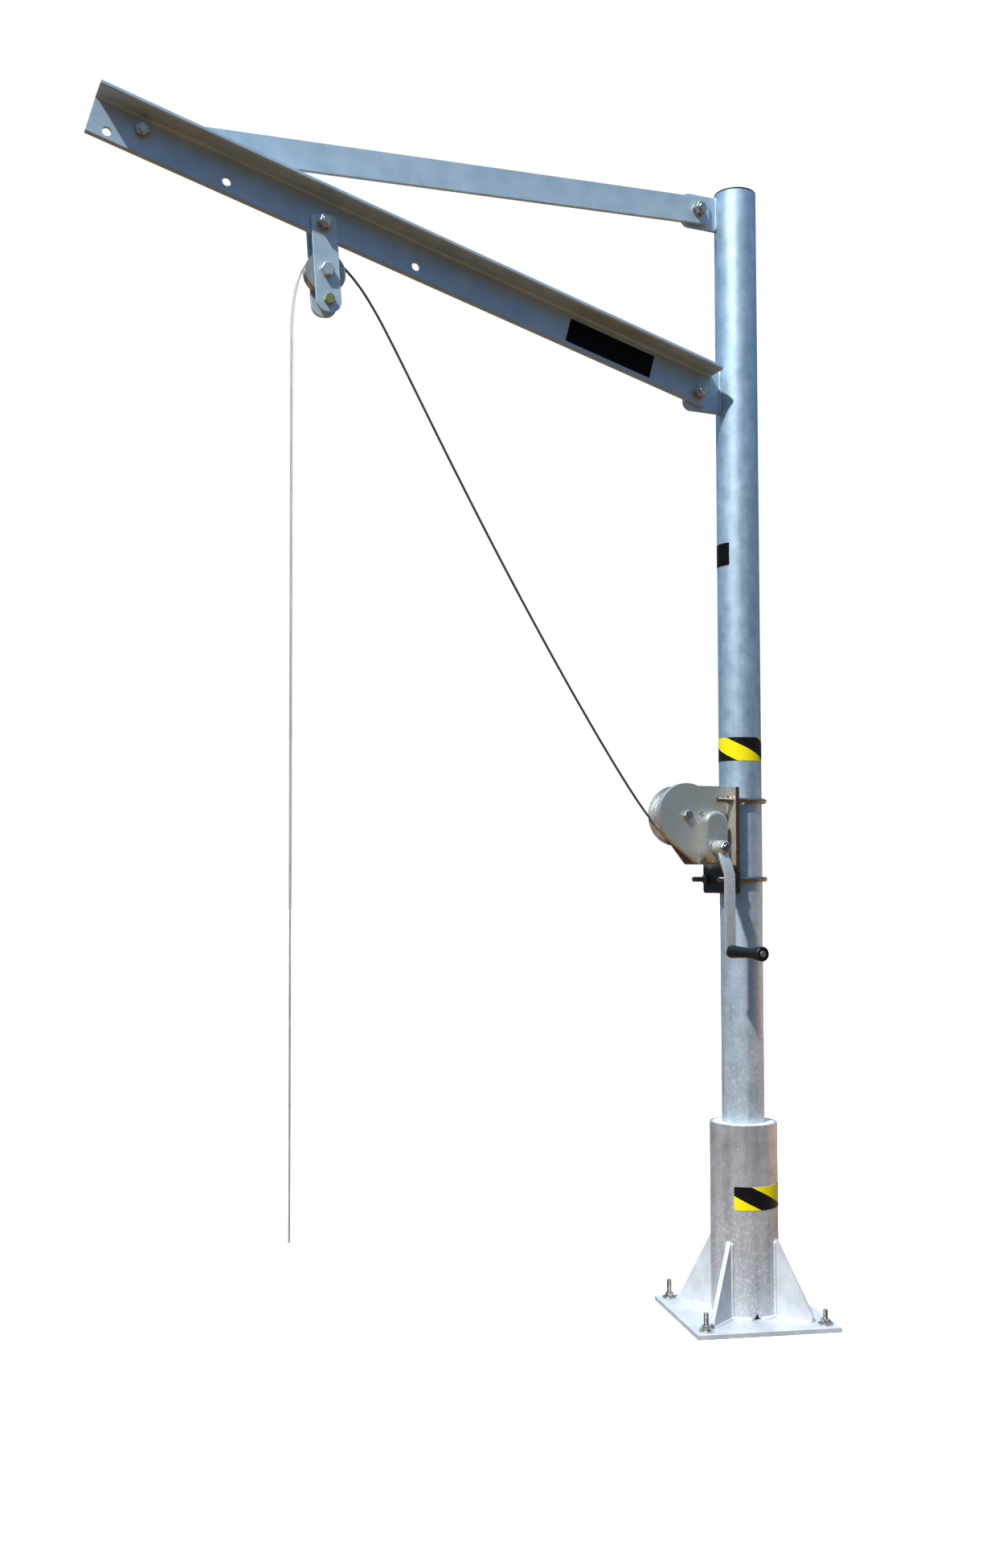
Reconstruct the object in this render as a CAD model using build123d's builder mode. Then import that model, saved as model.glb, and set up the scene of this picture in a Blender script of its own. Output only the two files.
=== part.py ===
"""Slewing davit crane: floor socket, turning mast, angle jib with tie bar, pulley block and hand winch.

Millimetres. The origin is on the slew axis at the underside of the base plate.
+Z is up, the jib points along -X at rest and the winch crank is on the -Y side.
"""

import math
import os

from build123d import *

os.makedirs("parts", exist_ok=True)

# Clearances
running_gap = 0.05
seat_gap = 0.05
moving_gap = 0.3
edge_break = 0.8
thread_chamfer = 1.0

# Floor socket
plate_side = 300.0
plate_thickness = 10.0
plate_turn = -13.0
socket_diameter = 139.7
socket_wall = 6.3
socket_top = 400.0
gusset_thickness = 10.0
gusset_height = 155.0
gusset_to_washer = 11.78
gusset_outer_edge = 14.0
gusset_top_width = 4.0
drain_width = 14.0
drain_height = 13.0
drain_bearing = -102.0

# Anchors
anchor_edge = 25.0
anchor_diameter = 10.0
anchor_hole_clearance = 2.0
anchor_depth = 95.0
anchor_washer_diameter = 30.0
anchor_washer_thickness = 4.0
anchor_nut_flats = 17.0
anchor_nut_height = 8.0
anchor_nut_turn = 20.0
anchor_free_ends = [28.0, 24.0, 19.0, 22.0]

# Mast and its guides
mast_diameter = 88.9
mast_wall = 5.0
mast_top = 2376.0
cap_thickness = 4.0
cap_plug_depth = 25.0
cap_edge = 2.0
thrust_thickness = 12.0
foot_thickness = 12.0
guide_height = 30.0
guide_recess = 0.5

# Lugs
lug_thickness = 10.0
lug_corner = 18.0
lower_lug_height = 92.0
lower_lug_reach = 87.5
lower_lug_below_bolt = 37.0
upper_lug_height = 72.0
upper_lug_reach = 83.5
upper_lug_below_top = 81.0

# Jib, an angle with its shorter leg flat on top
jib_slope = 15.1
jib_web = 80.0
jib_flange = 55.0
jib_thickness = 8.0
jib_root_radius = 6.0
jib_toe_radius = 4.0
jib_toe_below_bolt = 26.0
jib_inner_end = -20.0
jib_outer_end = 1313.0
jib_pivot_reach = 57.5
jib_pivot_z = 1930.0
jib_gauge = 2.0
jib_spare_holes = [660.0, 1050.0]
end_hole_from_tip = 36.0
end_hole_gauge = 9.0
block_station = 856.0
tie_from_tip = 93.0
tie_gauge = -20.0

# Tie bar
tie_depth = 57.0
tie_thickness = 10.0
tie_end_margin = 26.0
tie_corner = 6.0
tie_mast_reach = 49.5
tie_bolt_above_lug = 35.0

# M16 fasteners of the mast and jib
bolt_diameter = 16.0
bolt_hole_clearance = 1.5
bolt_flats = 24.0
bolt_head = 10.0
bolt_nut = 13.0
bolt_washer_diameter = 30.0
bolt_washer_thickness = 3.0
bolt_free_end = 4.0
hex_chamfer = 1.0

# Pulley block
block_tilt = 4.1
strap_width = 50.0
strap_thickness = 6.0
strap_above = 18.0
strap_below = 170.0
strap_round = 22.0
strap_corner = 6.0
axle_drop = 90.0
spacer_drop = 146.0
spacer_wall = 4.0
sheave_width = 20.0
sheave_radius = 40.0
bush_wall = 3.0
groove_side_gap = 2.0
groove_flare = 2.5
groove_fillet = 2.0
side_washer_radius = 14.0
side_washer_gap = 0.2
lower_bolt_diameter = 12.0
lower_bolt_flats = 19.0
lower_bolt_head = 8.0
lower_bolt_nut = 10.0
lower_bolt_turn = 15.0

# Hoist rope
rope_diameter = 5.0
rope_on_sheave = 38.0
rope_on_drum = 45.5
rope_gap = 0.5
winding_turns = 4

# Winch mounting
mount_thickness = 8.0
mount_edge = 16.5
mount_height = 222.0
mount_below_drum = 50.0
mount_corner = 6.0
u_bolt_diameter = 10.0
u_bolt_hole_gap = 0.5
u_bolt_spacing = 164.0
u_bolt_leg_free = 34.5
u_bolt_nut_flats = 17.0
u_bolt_nut_height = 9.0

# Winch frame
frame_sheet = 3.0
frame_base_sheet = 4.0
frame_front = -31.0
frame_top_cut = 5.0
frame_below_crank = 34.0
frame_foot_reach = 68.5
frame_rim_width = 2.4
frame_rim_to_gear = 1.1
frame_rim_depth = 10.0
frame_rim_past_drum = 23.0
frame_corner = 6.0
rear_plate_round = 44.0
frame_bolt_diameter = 10.0
frame_bolt_flats = 16.0
frame_bolt_head = 6.4
frame_bolt_short = 0.5
frame_bolt_rows = [-33.0, 93.0]
frame_bolt_columns = [-16.0, 14.0]

# Gears and drum
pinion_to_bolt = 4.27
drum_z = 1035.0
gear_module = 2.5
gear_teeth = 48
pinion_teeth = 20
pressure_angle = 20.0
gear_root_depth = 1.25
gear_backlash = 0.3
crank_direction = -52.0
gear_width = 10.0
gear_to_frame = 2.0
flange_to_pinion = 0.5
rear_flange_radius = 62.0
flange_thickness = 3.0
drum_side_gap = 0.5
barrel_radius = 28.0
drum_bush_length = 14.0
drum_axle_diameter = 16.0
drum_axle_flats = 19.0
drum_axle_head = 7.0
drum_axle_turn = 10.0

# Crank shaft, brake and cover
shaft_radius = 9.0
shaft_step = 2.0
shaft_bush_length = 7.0
shaft_bush_proud = 1.0
shaft_free_end = 3.0
pinion_side_gap = 0.6
cover_past_crank = 2.7
cover_width = 55.0
cover_below_crank = 32.0
cover_above_crank = 76.0
cover_depth = 27.0
cover_wall = 2.0
cover_edge = 8.0
cover_flange_width = 58.0
cover_flange_thickness = 2.0
cover_flange_corner = 3.0
cover_shaft_gap = 2.0
cover_screw_radius = 3.9
cover_screw_head = 3.0
cover_screw_inset = 5.5
cover_screw_shank = 2.0
brake_plate_radius = 16.0
brake_plate_thickness = 3.5
friction_radius = 15.0
friction_thickness = 3.0
brake_stack_start = 3.5
ratchet_teeth = 12
ratchet_tip = 19.0
ratchet_root = 15.5
ratchet_thickness = 5.5
ratchet_face_share = 0.08
pawl_pin_across = 14.7
pawl_pin_up = 32.0
pawl_pin_radius = 3.0
pawl_pin_end_gap = 2.0
pawl_boss = 6.0
pawl_thickness = 4.5
pawl_tip_across = -3.3
pawl_tip_up = 22.5
pawl_tip_half = 1.5

# Crank arm and grip
arm_width = 22.0
arm_thickness = 8.0
arm_length = 210.0
arm_joggle = 23.0
arm_joggle_start = 16.0
arm_joggle_end = 57.0
arm_end_round = 10.8
hub_radius = 15.0
hub_length = 26.0
hub_to_cover = 3.0
crank_nut_flats = 22.0
crank_nut_height = 9.0
spindle_radius = 5.0
spindle_head_radius = 9.0
spindle_head = 4.0
spindle_cap_radius = 6.5
spindle_cap_edge = 1.5
spindle_cap_gap = 1.0
spindle_end_short = 1.0
grip_length = 115.0
grip_middle_radius = 11.0
grip_inner_radius = 13.0
grip_outer_radius = 14.5
grip_recess = 4.0
grip_edge = 2.0
grip_swell_drop = 0.6
grip_waist_rise = 0.3
grip_swell_share = 0.12
grip_outer_waist_share = 0.3
grip_inner_waist_share = 0.35

# Tapes and labels
tape_thickness = 0.4
socket_tape_bottom = 229.0
socket_tape_top = 276.0
socket_tape_start = -139.0
socket_tape_arc = 149.0
mast_tape_bottom = 1151.0
mast_tape_top = 1200.0
mast_label_bottom = 1565.0
mast_label_top = 1613.0
mast_label_start = 147.0
mast_label_arc = 66.0
jib_label_start = 119.0
jib_label_end = 320.0
jib_label_upper = -33.0
jib_label_lower = 16.0

# Route of the free rope between drum and sheave, then down to its bare end: X and Z of each bend
lead_bends = [
    (-208.2, 1028.0),
    (-241.0, 1069.0),
    (-278.9, 1120.5),
    (-320.3, 1180.1),
    (-361.8, 1241.9),
    (-402.3, 1303.7),
    (-442.2, 1366.1),
    (-481.5, 1428.7),
    (-520.3, 1491.8),
    (-558.8, 1555.5),
    (-596.8, 1619.4),
    (-634.4, 1683.7),
    (-671.6, 1748.3),
    (-708.6, 1813.4),
    (-745.2, 1878.3),
    (-781.9, 1942.8),
    (-818.6, 2004.3),
    (-857.1, 2056.5),
]
sheave_bend_angles = [65.0, 103.0, 141.0]
sheave_bend_half_turn = 19.0
fall_bends = [(-976.5, 2042.0), (-986.0, 1970.0)]
rope_end_x = -977.0
rope_end_height = 240.0
drum_bend_count = 7
drum_bend_half_turn = 22.5
free_arc_share = 0.45
wheel_arc_share = 0.98
winding_samples = 48

# Worked-out places
mast_radius = mast_diameter / 2
socket_radius = socket_diameter / 2
socket_bore = socket_radius - socket_wall
anchor_spacing = plate_side - 2 * anchor_edge
anchor_hole = anchor_diameter + anchor_hole_clearance
gusset_reach = anchor_spacing / math.sqrt(2) - anchor_washer_diameter / 2 - gusset_to_washer
jib_hole = bolt_diameter + bolt_hole_clearance
web_back = -lug_thickness / 2
web_front = web_back - jib_thickness
tie_front = web_back
tie_back = tie_front + tie_thickness
strap_inner = -web_front + moving_gap
strap_outer = strap_inner + strap_thickness
jib_pivot_x = -(mast_radius + jib_pivot_reach)
lower_lug_bottom = jib_pivot_z - lower_lug_below_bolt
upper_lug_bottom = mast_top - upper_lug_below_top
tie_station = jib_outer_end - tie_from_tip
tie_mast_z = upper_lug_bottom + tie_bolt_above_lug
tie_mast_x = -(mast_radius + tie_mast_reach)
mount_back = -(mast_radius + seat_gap)
mount_front = mount_back - mount_thickness
mount_level = drum_z - mount_below_drum
u_bolt_radius = mast_radius + seat_gap + u_bolt_diameter / 2
mount_width = 2 * (u_bolt_radius + mount_edge)
u_bolt_leg_end = mount_front - u_bolt_leg_free
center_distance = gear_module * (gear_teeth + pinion_teeth) / 2
gear_tip = gear_module * (gear_teeth + 2) / 2
pinion_tip = gear_module * (pinion_teeth + 2) / 2
crank_reach = pinion_tip + pinion_to_bolt + frame_bolt_head + frame_base_sheet
drum_reach = crank_reach + center_distance * math.cos(math.radians(crank_direction))
drum_x = mount_front - drum_reach
frame_foot_x = mount_front - frame_foot_reach
frame_rim_right = drum_x + frame_rim_past_drum
frame_inner_front = frame_front + frame_sheet
gear_front = frame_inner_front + gear_to_frame
gear_back = gear_front + gear_width
rope_space_front = gear_back + flange_thickness
rope_pitch = rope_diameter + rope_gap
rope_space_rear = rope_space_front + (winding_turns + 2) * rope_pitch + rope_gap
frame_inner_rear = rope_space_rear + flange_thickness + drum_side_gap
frame_rear = frame_inner_rear + frame_sheet
crank_x = mount_front - crank_reach
crank_z = drum_z + center_distance * math.sin(math.radians(crank_direction))
front_flange_radius = center_distance - pinion_tip - flange_to_pinion
frame_round = gear_tip + frame_rim_to_gear + frame_rim_width
frame_top = drum_z + frame_round - frame_top_cut
frame_bottom = crank_z - frame_below_crank
cover_front = frame_front - cover_depth
cover_center_x = crank_x + cover_past_crank
cover_bottom = crank_z - cover_below_crank
cover_top = crank_z + cover_above_crank
pawl_pin_x = crank_x + pawl_pin_across
pawl_pin_z = crank_z + pawl_pin_up
pawl_tip_x = crank_x + pawl_tip_across
pawl_tip_z = crank_z + pawl_tip_up
hub_back = cover_front - hub_to_cover
hub_front = hub_back - hub_length
arm_back = hub_front + arm_thickness
arm_outer_back = arm_back - arm_joggle
arm_outer_front = arm_outer_back - arm_thickness
grip_z = crank_z - arm_length
grip_back = arm_outer_front - moving_gap
grip_front = grip_back - grip_length
shaft_thread_radius = shaft_radius - shaft_step
shaft_bush_radius = shaft_radius + bush_wall
cover_shaft_hole = shaft_radius + cover_shaft_gap
drum_bush_radius = drum_axle_diameter / 2 + bush_wall
sheave_bush_radius = bolt_diameter / 2 + bush_wall
hanger_spacer_diameter = bolt_diameter + 2 * spacer_wall
lower_spacer_diameter = lower_bolt_diameter + 2 * spacer_wall
rope_radius = rope_diameter / 2
groove_half_width = rope_radius + groove_side_gap
core_radius = rope_on_drum - rope_radius - moving_gap
winding_front = rope_space_front + rope_gap + rope_radius
free_slot = winding_front + (winding_turns + 1) * rope_pitch


# Drawing planes
def side_plane(depth):
    """Upright plane drawn in X and Z; positive extrusion goes towards the crank side."""
    return Plane(origin=(0, depth, 0), x_dir=(1, 0, 0), z_dir=(0, -1, 0))


def jib_point(along, down):
    """X and Z of a place on the jib, measured from its pivot along the jib and square to it."""
    cosine = math.cos(math.radians(jib_slope))
    sine = math.sin(math.radians(jib_slope))
    return (
        jib_pivot_x - along * cosine - down * sine,
        jib_pivot_z + along * sine - down * cosine,
    )


def jib_plane(depth):
    """Upright plane drawn along the jib and downwards from it, with its origin at the pivot."""
    slope = math.radians(jib_slope)
    direction = (-math.cos(slope), 0, math.sin(slope))
    return Plane(origin=(jib_pivot_x, depth, jib_pivot_z), x_dir=direction, z_dir=(0, -1, 0))


def block_plane(depth):
    """Upright plane of the tilted pulley block, with its origin at the hanger bolt."""
    tilt = math.radians(block_tilt)
    hanger_x, hanger_z = jib_point(block_station, jib_gauge)
    direction = (math.cos(tilt), 0, math.sin(tilt))
    return Plane(origin=(hanger_x, depth, hanger_z), x_dir=direction, z_dir=(0, -1, 0))


def block_point(drop):
    """X and Z of a place on the block's centre line below the hanger bolt."""
    tilt = math.radians(block_tilt)
    hanger_x, hanger_z = jib_point(block_station, jib_gauge)
    return (hanger_x + drop * math.sin(tilt), hanger_z - drop * math.cos(tilt))


def radial_plane(bearing, height):
    """Upright plane through the slew axis, drawn outwards along a bearing and upwards from a height."""
    angle = math.radians(bearing)
    outwards = (math.cos(angle), math.sin(angle), 0)
    return Plane(origin=(0, 0, height), x_dir=outwards, z_dir=(math.sin(angle), -math.cos(angle), 0))


def at(plane, across, up):
    """The same plane with its origin moved to a place on it."""
    return Plane(origin=plane.from_local_coords((across, up, 0)), x_dir=plane.x_dir, z_dir=plane.z_dir)


# Shared shapes
def disc(plane, outer_radius, thickness, bore_radius=0.0):
    """A round plate, washer or bush standing on a plane."""
    with BuildPart() as piece:
        with BuildSketch(plane):
            Circle(outer_radius)
            if bore_radius > 0:
                Circle(bore_radius, mode=Mode.SUBTRACT)
        extrude(amount=thickness)
    return piece.part


def hexagon(plane, flats, thickness, bore_radius=0.0, turn=0.0):
    """A hexagon nut or head standing on a plane, its outer edges chamfered."""
    with BuildPart() as piece:
        with BuildSketch(plane):
            RegularPolygon(radius=flats / 2, side_count=6, major_radius=False, rotation=turn)
        extrude(amount=thickness)
        outer_face = piece.faces().sort_by(Axis(plane.origin, plane.z_dir))[-1]
        chamfer(outer_face.edges(), length=hex_chamfer)
        if bore_radius > 0:
            with BuildSketch(plane):
                Circle(bore_radius)
            extrude(amount=thickness, mode=Mode.SUBTRACT)
    return piece.part


def hex_bolt(plane, diameter, length, flats, head, turn=0.0):
    """A hexagon bolt: the head stands on the plane and the shank runs the other way."""
    with BuildPart() as piece:
        add(hexagon(plane, flats, head, turn=turn))
        with BuildSketch(plane):
            Circle(diameter / 2)
        extrude(amount=-length)
        tip = piece.faces().sort_by(Axis(plane.origin, plane.z_dir))[0]
        chamfer(tip.edges(), length=hex_chamfer)
    return piece.part


def band(radius, bottom, top, start, arc):
    """A thin strip stuck on a tube, from one bearing through an arc."""
    inner = radius + seat_gap
    with BuildPart() as strip:
        with BuildSketch(radial_plane(start, 0)):
            with Locations((inner + tape_thickness / 2, (bottom + top) / 2)):
                Rectangle(tape_thickness, top - bottom)
        revolve(axis=Axis.Z, revolution_arc=arc)
    return strip.part


def involute(radius, base_radius):
    """Involute angle in radians at a radius on a tooth flank."""
    slope = math.acos(min(1.0, base_radius / radius))
    return math.tan(slope) - slope


def gear_outline(teeth, first_tooth):
    """Points round a spur gear, with a tooth centred on the first bearing."""
    pitch_radius = gear_module * teeth / 2
    base_radius = pitch_radius * math.cos(math.radians(pressure_angle))
    root_radius = pitch_radius - gear_root_depth * gear_module
    tip_radius = pitch_radius + gear_module
    pitch_half = math.pi / (2 * teeth) - gear_backlash / (2 * pitch_radius)
    flank_start = max(root_radius, base_radius)
    radii = [flank_start + (tip_radius - flank_start) * step / 4 for step in range(5)]
    flank = [(radius, pitch_half + involute(pitch_radius, base_radius) - involute(radius, base_radius))
             for radius in radii]
    if root_radius < base_radius:
        flank.insert(0, (root_radius, flank[0][1]))
    points = []
    for tooth in range(teeth):
        middle = math.radians(first_tooth) + 2 * math.pi * tooth / teeth
        for radius, half in flank:
            points.append((radius * math.cos(middle - half), radius * math.sin(middle - half)))
        for radius, half in reversed(flank):
            points.append((radius * math.cos(middle + half), radius * math.sin(middle + half)))
    return points


def spur_gear(plane, teeth, width, bore_radius, first_tooth):
    """A spur gear standing on a plane."""
    with BuildPart() as piece:
        with BuildSketch(plane):
            with BuildLine():
                Polyline(*gear_outline(teeth, first_tooth), close=True)
            make_face()
            if bore_radius > 0:
                Circle(bore_radius, mode=Mode.SUBTRACT)
        extrude(amount=width)
    return piece.part


# Base plate with anchor holes
anchor_corners = [(-1, 1), (-1, -1), (1, -1), (1, 1)]
half_spacing = anchor_spacing / 2
anchor_places = [(across * half_spacing, along * half_spacing) for across, along in anchor_corners]
turned_floor = Plane.XY.rotated((0, 0, plate_turn))

with BuildPart() as base_plate:
    with BuildSketch(turned_floor):
        Rectangle(plate_side, plate_side)
        with Locations(*anchor_places):
            Circle(anchor_hole / 2, mode=Mode.SUBTRACT)
    extrude(amount=plate_thickness)
    chamfer(base_plate.faces().sort_by(Axis.Z)[-1].outer_wire().edges(), length=edge_break)

# Socket tube with a drain notch at its foot
with BuildPart() as socket_tube:
    with BuildSketch(Plane.XY.offset(plate_thickness)):
        Circle(socket_radius)
        Circle(socket_bore, mode=Mode.SUBTRACT)
    extrude(amount=socket_top - plate_thickness)
    chamfer(socket_tube.faces().sort_by(Axis.Z)[-1].edges(), length=edge_break)
    drain_way = Vector(1, 0, 0).rotate(Axis.Z, drain_bearing)
    drain_across = Vector(0, 1, 0).rotate(Axis.Z, drain_bearing)
    with BuildSketch(Plane(origin=(0, 0, plate_thickness), x_dir=drain_across, z_dir=drain_way)):
        with BuildLine():
            Polyline((-drain_width / 2, 0), (drain_width / 2, 0), (0, drain_height), close=True)
        make_face()
    extrude(amount=socket_diameter, mode=Mode.SUBTRACT)

# Gussets on the plate's diagonals
with BuildPart() as base_gussets:
    for quarter in range(4):
        with BuildSketch(radial_plane(plate_turn + 45 + 90 * quarter, plate_thickness)):
            with BuildLine():
                Polyline(
                    (socket_radius - gusset_thickness, 0),
                    (gusset_reach, 0),
                    (gusset_reach, gusset_outer_edge),
                    (socket_radius + gusset_top_width, gusset_height),
                    (socket_radius - gusset_thickness, gusset_height),
                    close=True,
                )
            make_face()
        extrude(amount=gusset_thickness / 2, both=True)
    with BuildSketch(Plane.XY):
        Circle(socket_radius)
    extrude(amount=socket_top, mode=Mode.SUBTRACT)

# Anchors: a stud through the plate and its expansion sleeve in the floor below
washer_top = plate_thickness + anchor_washer_thickness
nut_top = washer_top + anchor_nut_height

with BuildPart() as anchor_studs:
    for place, free_end in zip(anchor_places, anchor_free_ends):
        with BuildSketch(turned_floor.offset(-anchor_depth)):
            with Locations(place):
                Circle(anchor_hole / 2)
        extrude(amount=anchor_depth)
        with BuildSketch(turned_floor):
            with Locations(place):
                Circle(anchor_diameter / 2)
        extrude(amount=nut_top + free_end)
    stud_rims = anchor_studs.edges().filter_by(GeomType.CIRCLE)
    chamfer(stud_rims.filter_by(lambda edge: edge.center().Z > nut_top), length=thread_chamfer)

stud_planes = [at(turned_floor, *place) for place in anchor_places]
with BuildPart() as anchor_washers:
    for plane in stud_planes:
        add(disc(plane.offset(plate_thickness), anchor_washer_diameter / 2, anchor_washer_thickness,
                 anchor_hole / 2))

with BuildPart() as anchor_nuts:
    for index, plane in enumerate(stud_planes):
        add(hexagon(plane.offset(washer_top), anchor_nut_flats, anchor_nut_height,
                    anchor_diameter / 2 + seat_gap, turn=anchor_nut_turn * index))

# Guides for the mast in the socket
foot_bottom = plate_thickness + thrust_thickness
guide_outer = socket_bore - seat_gap
guide_bore = mast_radius + running_gap

with BuildPart() as thrust_disc:
    add(disc(Plane.XY.offset(plate_thickness), guide_outer, thrust_thickness))

with BuildPart() as lower_guide_ring:
    add(disc(Plane.XY.offset(foot_bottom), guide_outer, guide_height, guide_bore))

with BuildPart() as upper_guide_ring:
    ring_bottom = socket_top - guide_recess - guide_height
    add(disc(Plane.XY.offset(ring_bottom), guide_outer, guide_height, guide_bore))
    chamfer(upper_guide_ring.faces().sort_by(Axis.Z)[-1].edges(), length=edge_break)

with BuildPart() as socket_tape:
    add(band(socket_radius, socket_tape_bottom, socket_tape_top, socket_tape_start, socket_tape_arc))

# Mast tube, foot and cap
tube_bottom = foot_bottom + foot_thickness

with BuildPart() as mast_foot:
    add(disc(Plane.XY.offset(foot_bottom), mast_radius, foot_thickness))

with BuildPart() as mast_tube:
    add(disc(Plane.XY.offset(tube_bottom), mast_radius, mast_top - tube_bottom, mast_radius - mast_wall))

with BuildPart() as mast_cap:
    with BuildSketch(Plane.XY.offset(mast_top)):
        Circle(mast_radius)
    extrude(amount=cap_thickness)
    fillet(mast_cap.faces().sort_by(Axis.Z)[-1].edges(), radius=cap_edge)
    with BuildSketch(Plane.XY.offset(mast_top)):
        Circle(mast_radius - mast_wall - seat_gap)
    extrude(amount=-cap_plug_depth)

with BuildPart() as mast_tape:
    add(band(mast_radius, mast_tape_bottom, mast_tape_top, 0, 360))

with BuildPart() as mast_label:
    add(band(mast_radius, mast_label_bottom, mast_label_top, mast_label_start, mast_label_arc))


# Lugs welded to the mast
def mast_lug(back, reach, bottom, height, bolt_place):
    """A plate from the mast towards the jib, its free corners rounded, with one bolt hole."""
    end = -(mast_radius + reach)
    with BuildPart() as lug:
        with BuildSketch(side_plane(back)) as outline:
            with Locations(((end - mast_radius / 2) / 2, bottom + height / 2)):
                Rectangle(-end - mast_radius / 2, height)
            fillet(outline.vertices().group_by(Axis.X)[0], radius=lug_corner)
            with Locations(bolt_place):
                Circle(jib_hole / 2, mode=Mode.SUBTRACT)
        extrude(amount=lug_thickness)
        with BuildSketch(Plane.XY.offset(bottom)):
            Circle(mast_radius)
        extrude(amount=height, mode=Mode.SUBTRACT)
    return lug.part


with BuildPart() as lower_lug:
    add(mast_lug(lug_thickness / 2, lower_lug_reach, lower_lug_bottom, lower_lug_height,
                 (jib_pivot_x, jib_pivot_z)))

with BuildPart() as upper_lug:
    add(mast_lug(tie_back + lug_thickness, upper_lug_reach, upper_lug_bottom, upper_lug_height,
                 (tie_mast_x, tie_mast_z)))

# Jib beam
jib_holes = [(0.0, 0.0), (block_station, jib_gauge), (tie_station, tie_gauge)]
jib_holes += [(station, jib_gauge) for station in jib_spare_holes]
jib_holes += [(jib_outer_end - end_hole_from_tip, end_hole_gauge)]
jib_heel = jib_web - jib_toe_below_bolt
section_x, section_z = jib_point(jib_inner_end, 0)
section_plane = Plane(origin=(section_x, web_back, section_z), x_dir=(0, -1, 0), z_dir=jib_plane(0).x_dir)

with BuildPart() as jib_beam:
    with BuildSketch(section_plane) as jib_section:
        with Locations((jib_thickness / 2, jib_heel - jib_web / 2)):
            Rectangle(jib_thickness, jib_web)
        with Locations((jib_flange / 2, jib_heel - jib_thickness / 2)):
            Rectangle(jib_flange, jib_thickness)
        corners = jib_section.vertices()
        root = corners.sort_by_distance((jib_thickness, jib_heel - jib_thickness, 0))[0]
        fillet(root, radius=jib_root_radius)
        corners = jib_section.vertices()
        web_toe = corners.sort_by_distance((jib_thickness, jib_heel - jib_web, 0))[0]
        flange_toe = corners.sort_by_distance((jib_flange, jib_heel - jib_thickness, 0))[0]
        fillet([web_toe, flange_toe], radius=jib_toe_radius)
    extrude(amount=jib_outer_end - jib_inner_end)
    with BuildSketch(jib_plane(web_back)):
        with Locations(*jib_holes):
            Circle(jib_hole / 2)
    extrude(amount=jib_thickness, mode=Mode.SUBTRACT)

with BuildPart() as jib_label:
    with BuildSketch(jib_plane(web_front)):
        with Locations(((jib_label_start + jib_label_end) / 2, (jib_label_upper + jib_label_lower) / 2)):
            Rectangle(jib_label_end - jib_label_start, jib_label_lower - jib_label_upper)
    extrude(amount=tape_thickness)

# Tie bar from the upper lug to the jib
tie_jib_x, tie_jib_z = jib_point(tie_station, tie_gauge)
tie_length = math.hypot(tie_jib_x - tie_mast_x, tie_jib_z - tie_mast_z)
tie_direction = (tie_jib_x - tie_mast_x, 0, tie_jib_z - tie_mast_z)
tie_plane = Plane(origin=(tie_mast_x, tie_back, tie_mast_z), x_dir=tie_direction, z_dir=(0, -1, 0))

with BuildPart() as tie_bar:
    with BuildSketch(tie_plane) as tie_outline:
        with Locations((tie_length / 2, 0)):
            Rectangle(tie_length + 2 * tie_end_margin, tie_depth)
        fillet(tie_outline.vertices(), radius=tie_corner)
        with Locations((0, 0), (tie_length, 0)):
            Circle(jib_hole / 2, mode=Mode.SUBTRACT)
    extrude(amount=tie_thickness)

# M16 bolts: jib pivot, tie at the mast, tie at the jib, block hanger
hanger_washer_face = strap_outer + moving_gap
hanger_head_face = hanger_washer_face + bolt_washer_thickness
pivot_nut_face = web_front - bolt_washer_thickness
tie_nut_face = tie_front - bolt_washer_thickness
hanger_nut_face = -hanger_head_face
bolt_axes = [
    (at(side_plane(0), jib_pivot_x, jib_pivot_z), lug_thickness / 2, pivot_nut_face),
    (at(side_plane(0), tie_mast_x, tie_mast_z), tie_back + lug_thickness, tie_nut_face),
    (at(jib_plane(0), tie_station, tie_gauge), tie_back, web_front),
    (block_plane(0), hanger_head_face, hanger_nut_face),
]

with BuildPart() as crane_bolts:
    for axis_plane, head_face, nut_face in bolt_axes:
        shank = head_face - nut_face + bolt_nut + bolt_free_end
        head_place = axis_plane.offset(-head_face).origin
        head_plane = Plane(origin=head_place, x_dir=axis_plane.x_dir, z_dir=(0, 1, 0))
        add(hex_bolt(head_plane, bolt_diameter, shank, bolt_flats, bolt_head))

with BuildPart() as crane_nuts:
    for axis_plane, head_face, nut_face in bolt_axes:
        add(hexagon(axis_plane.offset(-nut_face), bolt_flats, bolt_nut, bolt_diameter / 2 + seat_gap))

with BuildPart() as crane_washers:
    washer_bore = bolt_diameter / 2 + seat_gap
    for axis_plane, face in [
        (bolt_axes[0][0], web_front),
        (bolt_axes[1][0], tie_front),
        (block_plane(0), -hanger_washer_face),
        (block_plane(0), hanger_head_face),
    ]:
        add(disc(axis_plane.offset(-face), bolt_washer_diameter / 2, bolt_washer_thickness, washer_bore))

with BuildPart() as hanger_spacer:
    spacer_back = strap_inner - moving_gap
    spacer_length = spacer_back - web_back
    add(disc(block_plane(spacer_back), hanger_spacer_diameter / 2, spacer_length,
             bolt_diameter / 2 + seat_gap))


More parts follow.
